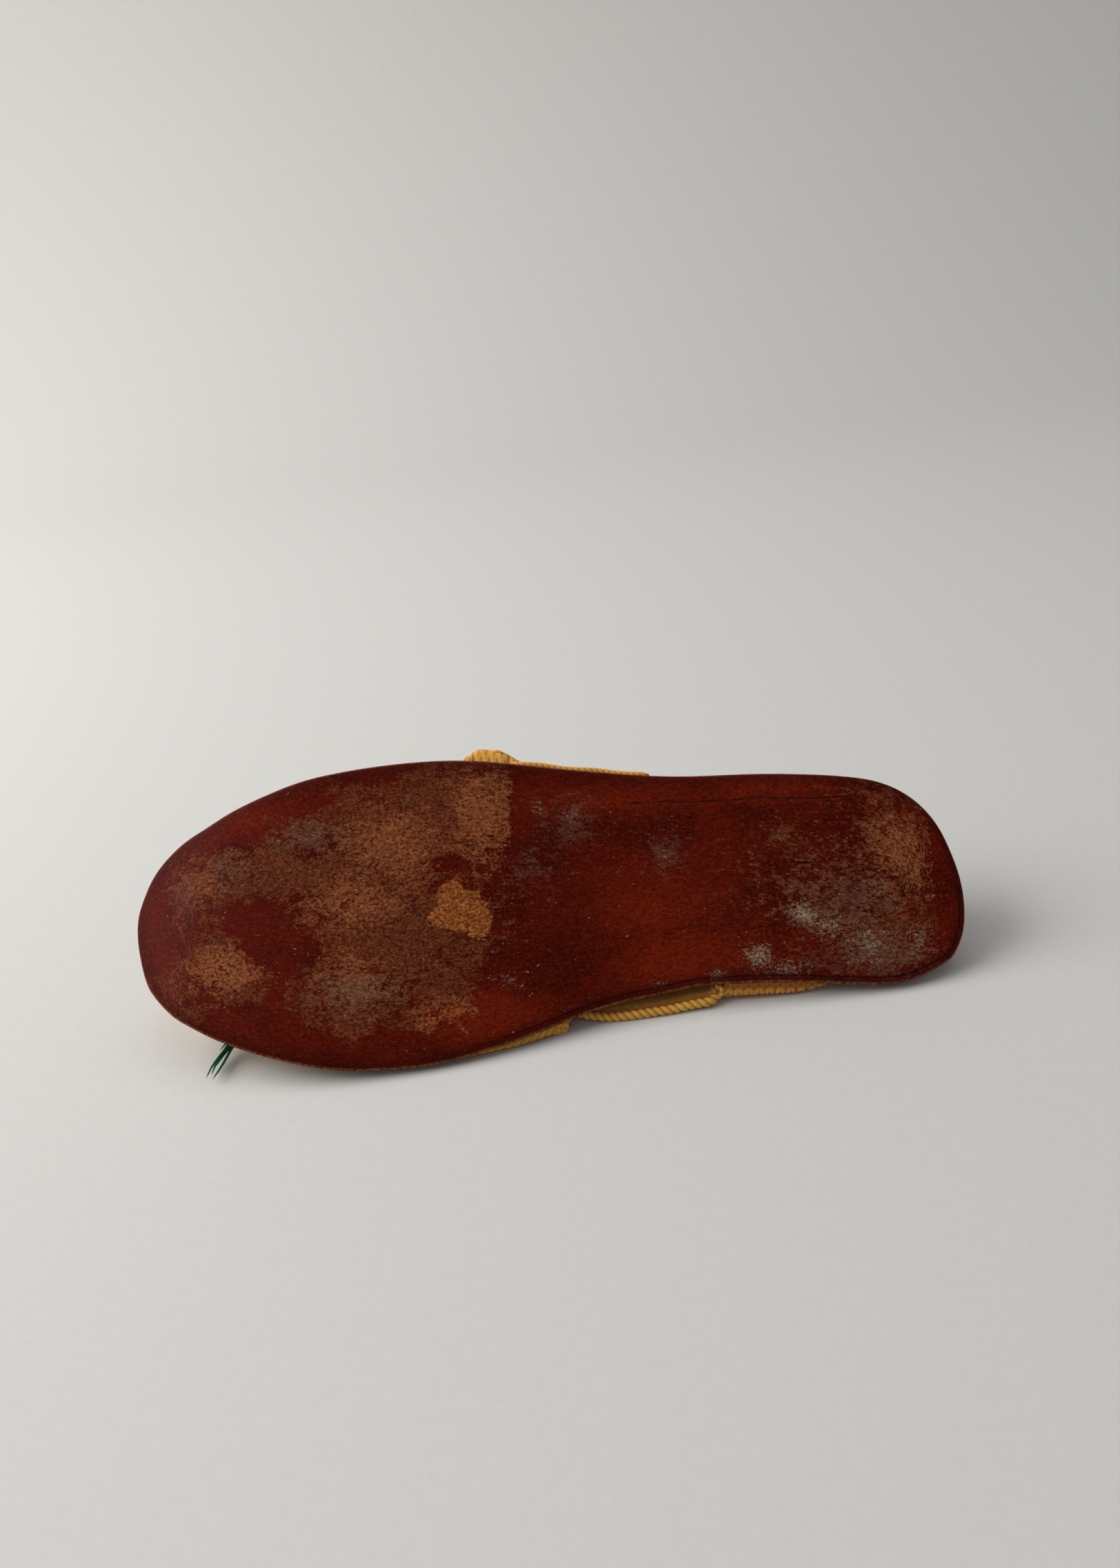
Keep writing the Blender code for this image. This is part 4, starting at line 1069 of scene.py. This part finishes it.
def clay(name, base_tones, painted):
    """Low fired terracotta, burnished; when painted, a green zigzag and a red band under it are painted on."""
    tree, shader, made = new_material(name)
    turned = add(tree, "ShaderNodeAttribute", attribute_name="turned").outputs["Vector"]
    parts = add(tree, "ShaderNodeSeparateXYZ", {0: turned})
    x, y, along = parts.outputs
    where = add(tree, "ShaderNodeTexCoord").outputs["Object"]
    cloud = noise_of(tree, where, 400.0, 4)
    grit = noise_of(tree, where, 2500.0, 3)
    tone = blend_of(tree, ramp(tree, cloud, 0.35, 0.65), linear(base_tones[0]), linear(base_tones[1]))
    if painted:
        angle = maths(tree, "ARCTAN2", y, x)
        wave = maths(tree, "PINGPONG", maths(tree, "MULTIPLY", angle, 4 / (2 * math.pi)), 0.5)
        line = maths(tree, "SUBTRACT", maths(tree, "MULTIPLY", wave, 2.2), 0.55)
        away = maths(tree, "ABSOLUTE", maths(tree, "SUBTRACT", along, line))
        wobble = maths(tree, "MULTIPLY", maths(tree, "SUBTRACT", cloud, 0.5), 0.15)
        zigzag = ramp(tree, maths(tree, "ADD", away, wobble), 0.20, 0.15)
        below = ramp(tree, maths(tree, "SUBTRACT", maths(tree, "SUBTRACT", line, along), 0.30), 0.0, 0.04)
        inside = maths(tree, "MULTIPLY", below, ramp(tree, maths(tree, "ADD", along, wobble), -0.72, -0.66))
        tone = blend_of(tree, inside, tone, linear("b01e22"))
        tone = blend_of(tree, zigzag, tone, linear("1f7048"))
    tree.links.new(tone, shader.inputs["Base Color"])
    shader.inputs["Roughness"].default_value = 0.42
    bump = add(tree, "ShaderNodeBump", {"Strength": 0.25, "Distance": 0.0002, "Height": grit})
    tree.links.new(bump.outputs[0], shader.inputs["Normal"])
    return made


terracotta = clay("painted_terracotta", ("a8664a", "c07a5a"), True)
plain_clay = clay("plain_terracotta", ("9a5c44", "b06c50"), False)
round_piece = piece("painted_bead", [bead(round_centre, bead_axis, BEAD_RADIUS * 0.90, BEAD_RADIUS * 0.97, 0.12, 0)],
                    [terracotta], "bead_round")
barrel_piece = piece("barrel_bead", [bead(barrel_centre, Vector((1, 0.2, 0)), BARREL_HALF, BARREL_RADIUS, 0.20, 0)],
                     [plain_clay], "bead_barrel")

# Green wool tassel: a wrapped knot and hanks of fine yarn combed along the locks
LAY = KNIT_THICK / 2 + GAP + 0.0003
random = np.random.default_rng(7)
wool = yarn_surface("green_wool_yarn", ("0b4f34", "157a54", "04301e", "01180e"), 1.0, 0.6)[2]
knot_centre = vamp_outer(0.590, 34.0, LAY + 0.0046)
strands = []


def spline(points, steps):
    """A smooth path through the points."""
    ends = [points[0] * 2 - points[1]] + list(points) + [points[-1] * 2 - points[-2]]
    path = []
    for i in range(1, len(ends) - 2):
        a, b, c, d = ends[i - 1 : i + 3]
        for k in range(steps):
            s = k / steps
            path.append((b * 2 + (c - a) * s + (a * 2 - b * 5 + c * 4 - d) * s**2 + (b * 3 - a - c * 3 + d) * s**3) / 2)
    return path + [points[-1]]


for number, (stops, thick) in enumerate(LOCKS):
    radius = LOCK_RADIUS * thick
    path = spline([vamp_outer(share, degrees, LAY + radius * 1.15) for share, degrees in stops], 6)
    if number == 4:
        end = path[-1]
        path += [end + Vector((-0.003, 0.005, -0.0012)), end + Vector((-0.005, 0.010, -0.0046)),
                 end + Vector((-0.0062, 0.0150, -0.0087))]
    path = np.array([tuple(p) for p in path])
    line, run = dense(path, 120)
    side, other = carried_frames(line)
    for k in range(16):
        ring = math.sqrt((k + 0.5) / 16)
        phase = k * 2.4
        spread = radius * 0.95 * ring * (0.55 + 0.45 * np.minimum(1, run / run[-1] * 6))
        angle = phase + run / 0.020 * (0.8 + 0.1 * math.sin(k))
        drift = 0.0004 * np.sin(run * (300 + 40 * k % 7) + k)
        strand = line + side * (np.cos(angle) * spread + drift)[:, None] + other * (np.sin(angle) * spread)[:, None]
        stop = 121 - int(random.integers(0, 26))
        strands.append(yarn_tube(strand[:stop], 0.00044, 90, 6, 0, 1.0, 0.0, 0, 9))
knot_turns = []
for k in range(9):
    tilt = math.radians(-40 + 10 * k)
    ring = []
    for j in range(41):
        a = 2 * math.pi * j / 40
        ring.append((0.0022 * (k - 4) / 1.6 + 0.0004 * math.sin(3 * a + k), 0.0044 * math.cos(a), 0.0036 * math.sin(a)))
    ring = np.array(ring) + np.array(tuple(knot_centre))
    knot_turns.append(yarn_tube(ring, 0.00085, 60, 8, 2, 0.003, 0.25, 0, 1))
core_path = [np.array(tuple(knot_centre)) + np.array([x, 0.0, 0.0]) for x in np.linspace(-0.0062, 0.0070, 12)]
core = yarn_tube(np.array(core_path), 0.0037, 40, 16, 0, 1.0, 0.0, 0, 9)
tassel_piece = piece("wool_tassel", strands + knot_turns + [core], [wool], "tassel")

# Floor, one pale sheet swept up behind, and soft light from the left
floor_mesh = bmesh.new()
bmesh.ops.create_grid(floor_mesh, x_segments=40, y_segments=60, size=1.0)
for vert in floor_mesh.verts:
    y = vert.co.y * 1.6
    bend = max(0.0, y - 0.75)
    angle = min(bend / 0.45, math.pi / 2)
    rise = 0.45 * (1 - math.cos(angle)) + max(0.0, bend - 0.45 * math.pi / 2)
    vert.co = Vector((vert.co.x * 2.2, min(y, 0.75) + 0.45 * math.sin(angle), rise))
floor_data = bpy.data.meshes.new("floor")
floor_mesh.to_mesh(floor_data)
floor_mesh.free()
floor = bpy.data.objects.new("floor", floor_data)
bpy.context.scene.collection.objects.link(floor)
for polygon in floor_data.polygons:
    polygon.use_smooth = True
tree, shader, floor_material = new_material("matt_pale_paper")
# Uncoated pale paper: even, matt, a trace of fibre
where = add(tree, "ShaderNodeTexCoord").outputs["Object"]
shade = noise_of(tree, where, 300.0, 3)
tree.links.new(blend_of(tree, ramp(tree, shade, 0.3, 0.7), linear("cccbc6"), linear("cecdc8")), shader.inputs["Base Color"])
shader.inputs["Roughness"].default_value = 0.85
floor_data.materials.append(floor_material)
floor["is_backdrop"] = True

world = bpy.data.worlds.new("studio")
bpy.context.scene.world = world
world.use_nodes = True
world.node_tree.nodes["Background"].inputs[0].default_value = linear("eef0f2")
world.node_tree.nodes["Background"].inputs[1].default_value = 0.31


def soft_light(name, place, aim, size, power, tone):
    data = bpy.data.lights.new(name, "AREA")
    data.shape = "RECTANGLE"
    data.size, data.size_y = size
    data.energy = power
    data.color = linear(tone)[:3]
    lamp = bpy.data.objects.new(name, data)
    lamp.location = place
    lamp.rotation_euler = (Vector(aim) - Vector(place)).to_track_quat("-Z", "Y").to_euler()
    bpy.context.scene.collection.objects.link(lamp)
    lamp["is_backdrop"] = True


soft_light("left_window", (-1.12, 0.12, 0.92), (0, 0, 0), (1.3, 1.1), 22.5, "fffdfc")
soft_light("overhead", (0.1, 0.5, 1.7), (0, 0, 0), (1.8, 1.4), 7, "f8f8ff")

# Camera: a phone's wide lens, held above and slightly rolled
CAMERA_AZIMUTH, CAMERA_ELEVATION, CAMERA_ROLL = 1.4, 28.0, -6.9
CAMERA_DISTANCE = 0.374
CAMERA_LENS_PIXELS = 1700.0
CAMERA_TARGET = Vector((0.0077, 0.0158, 0.0593))
azimuth, elevation = math.radians(CAMERA_AZIMUTH), math.radians(CAMERA_ELEVATION)
back = Vector((math.sin(azimuth) * math.cos(elevation), -math.cos(azimuth) * math.cos(elevation), math.sin(elevation)))
camera = bpy.data.objects.new("camera", bpy.data.cameras.new("camera"))
camera.data.sensor_width = 36.0
camera.data.lens = CAMERA_LENS_PIXELS * 36.0 / 2274
camera.data.clip_start = 0.01
right = (-back).cross(Vector((0, 0, 1))).normalized()
upward = right.cross(-back)
roll = math.radians(CAMERA_ROLL)
right, upward = right * math.cos(roll) + upward * math.sin(roll), upward * math.cos(roll) - right * math.sin(roll)
camera.matrix_world = Matrix.Translation(CAMERA_TARGET + back * CAMERA_DISTANCE) @ Matrix((right, upward, back)).transposed().to_4x4()
bpy.context.scene.collection.objects.link(camera)
bpy.context.scene.camera = camera
bpy.context.scene.view_settings.view_transform = "Standard"

low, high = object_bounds()
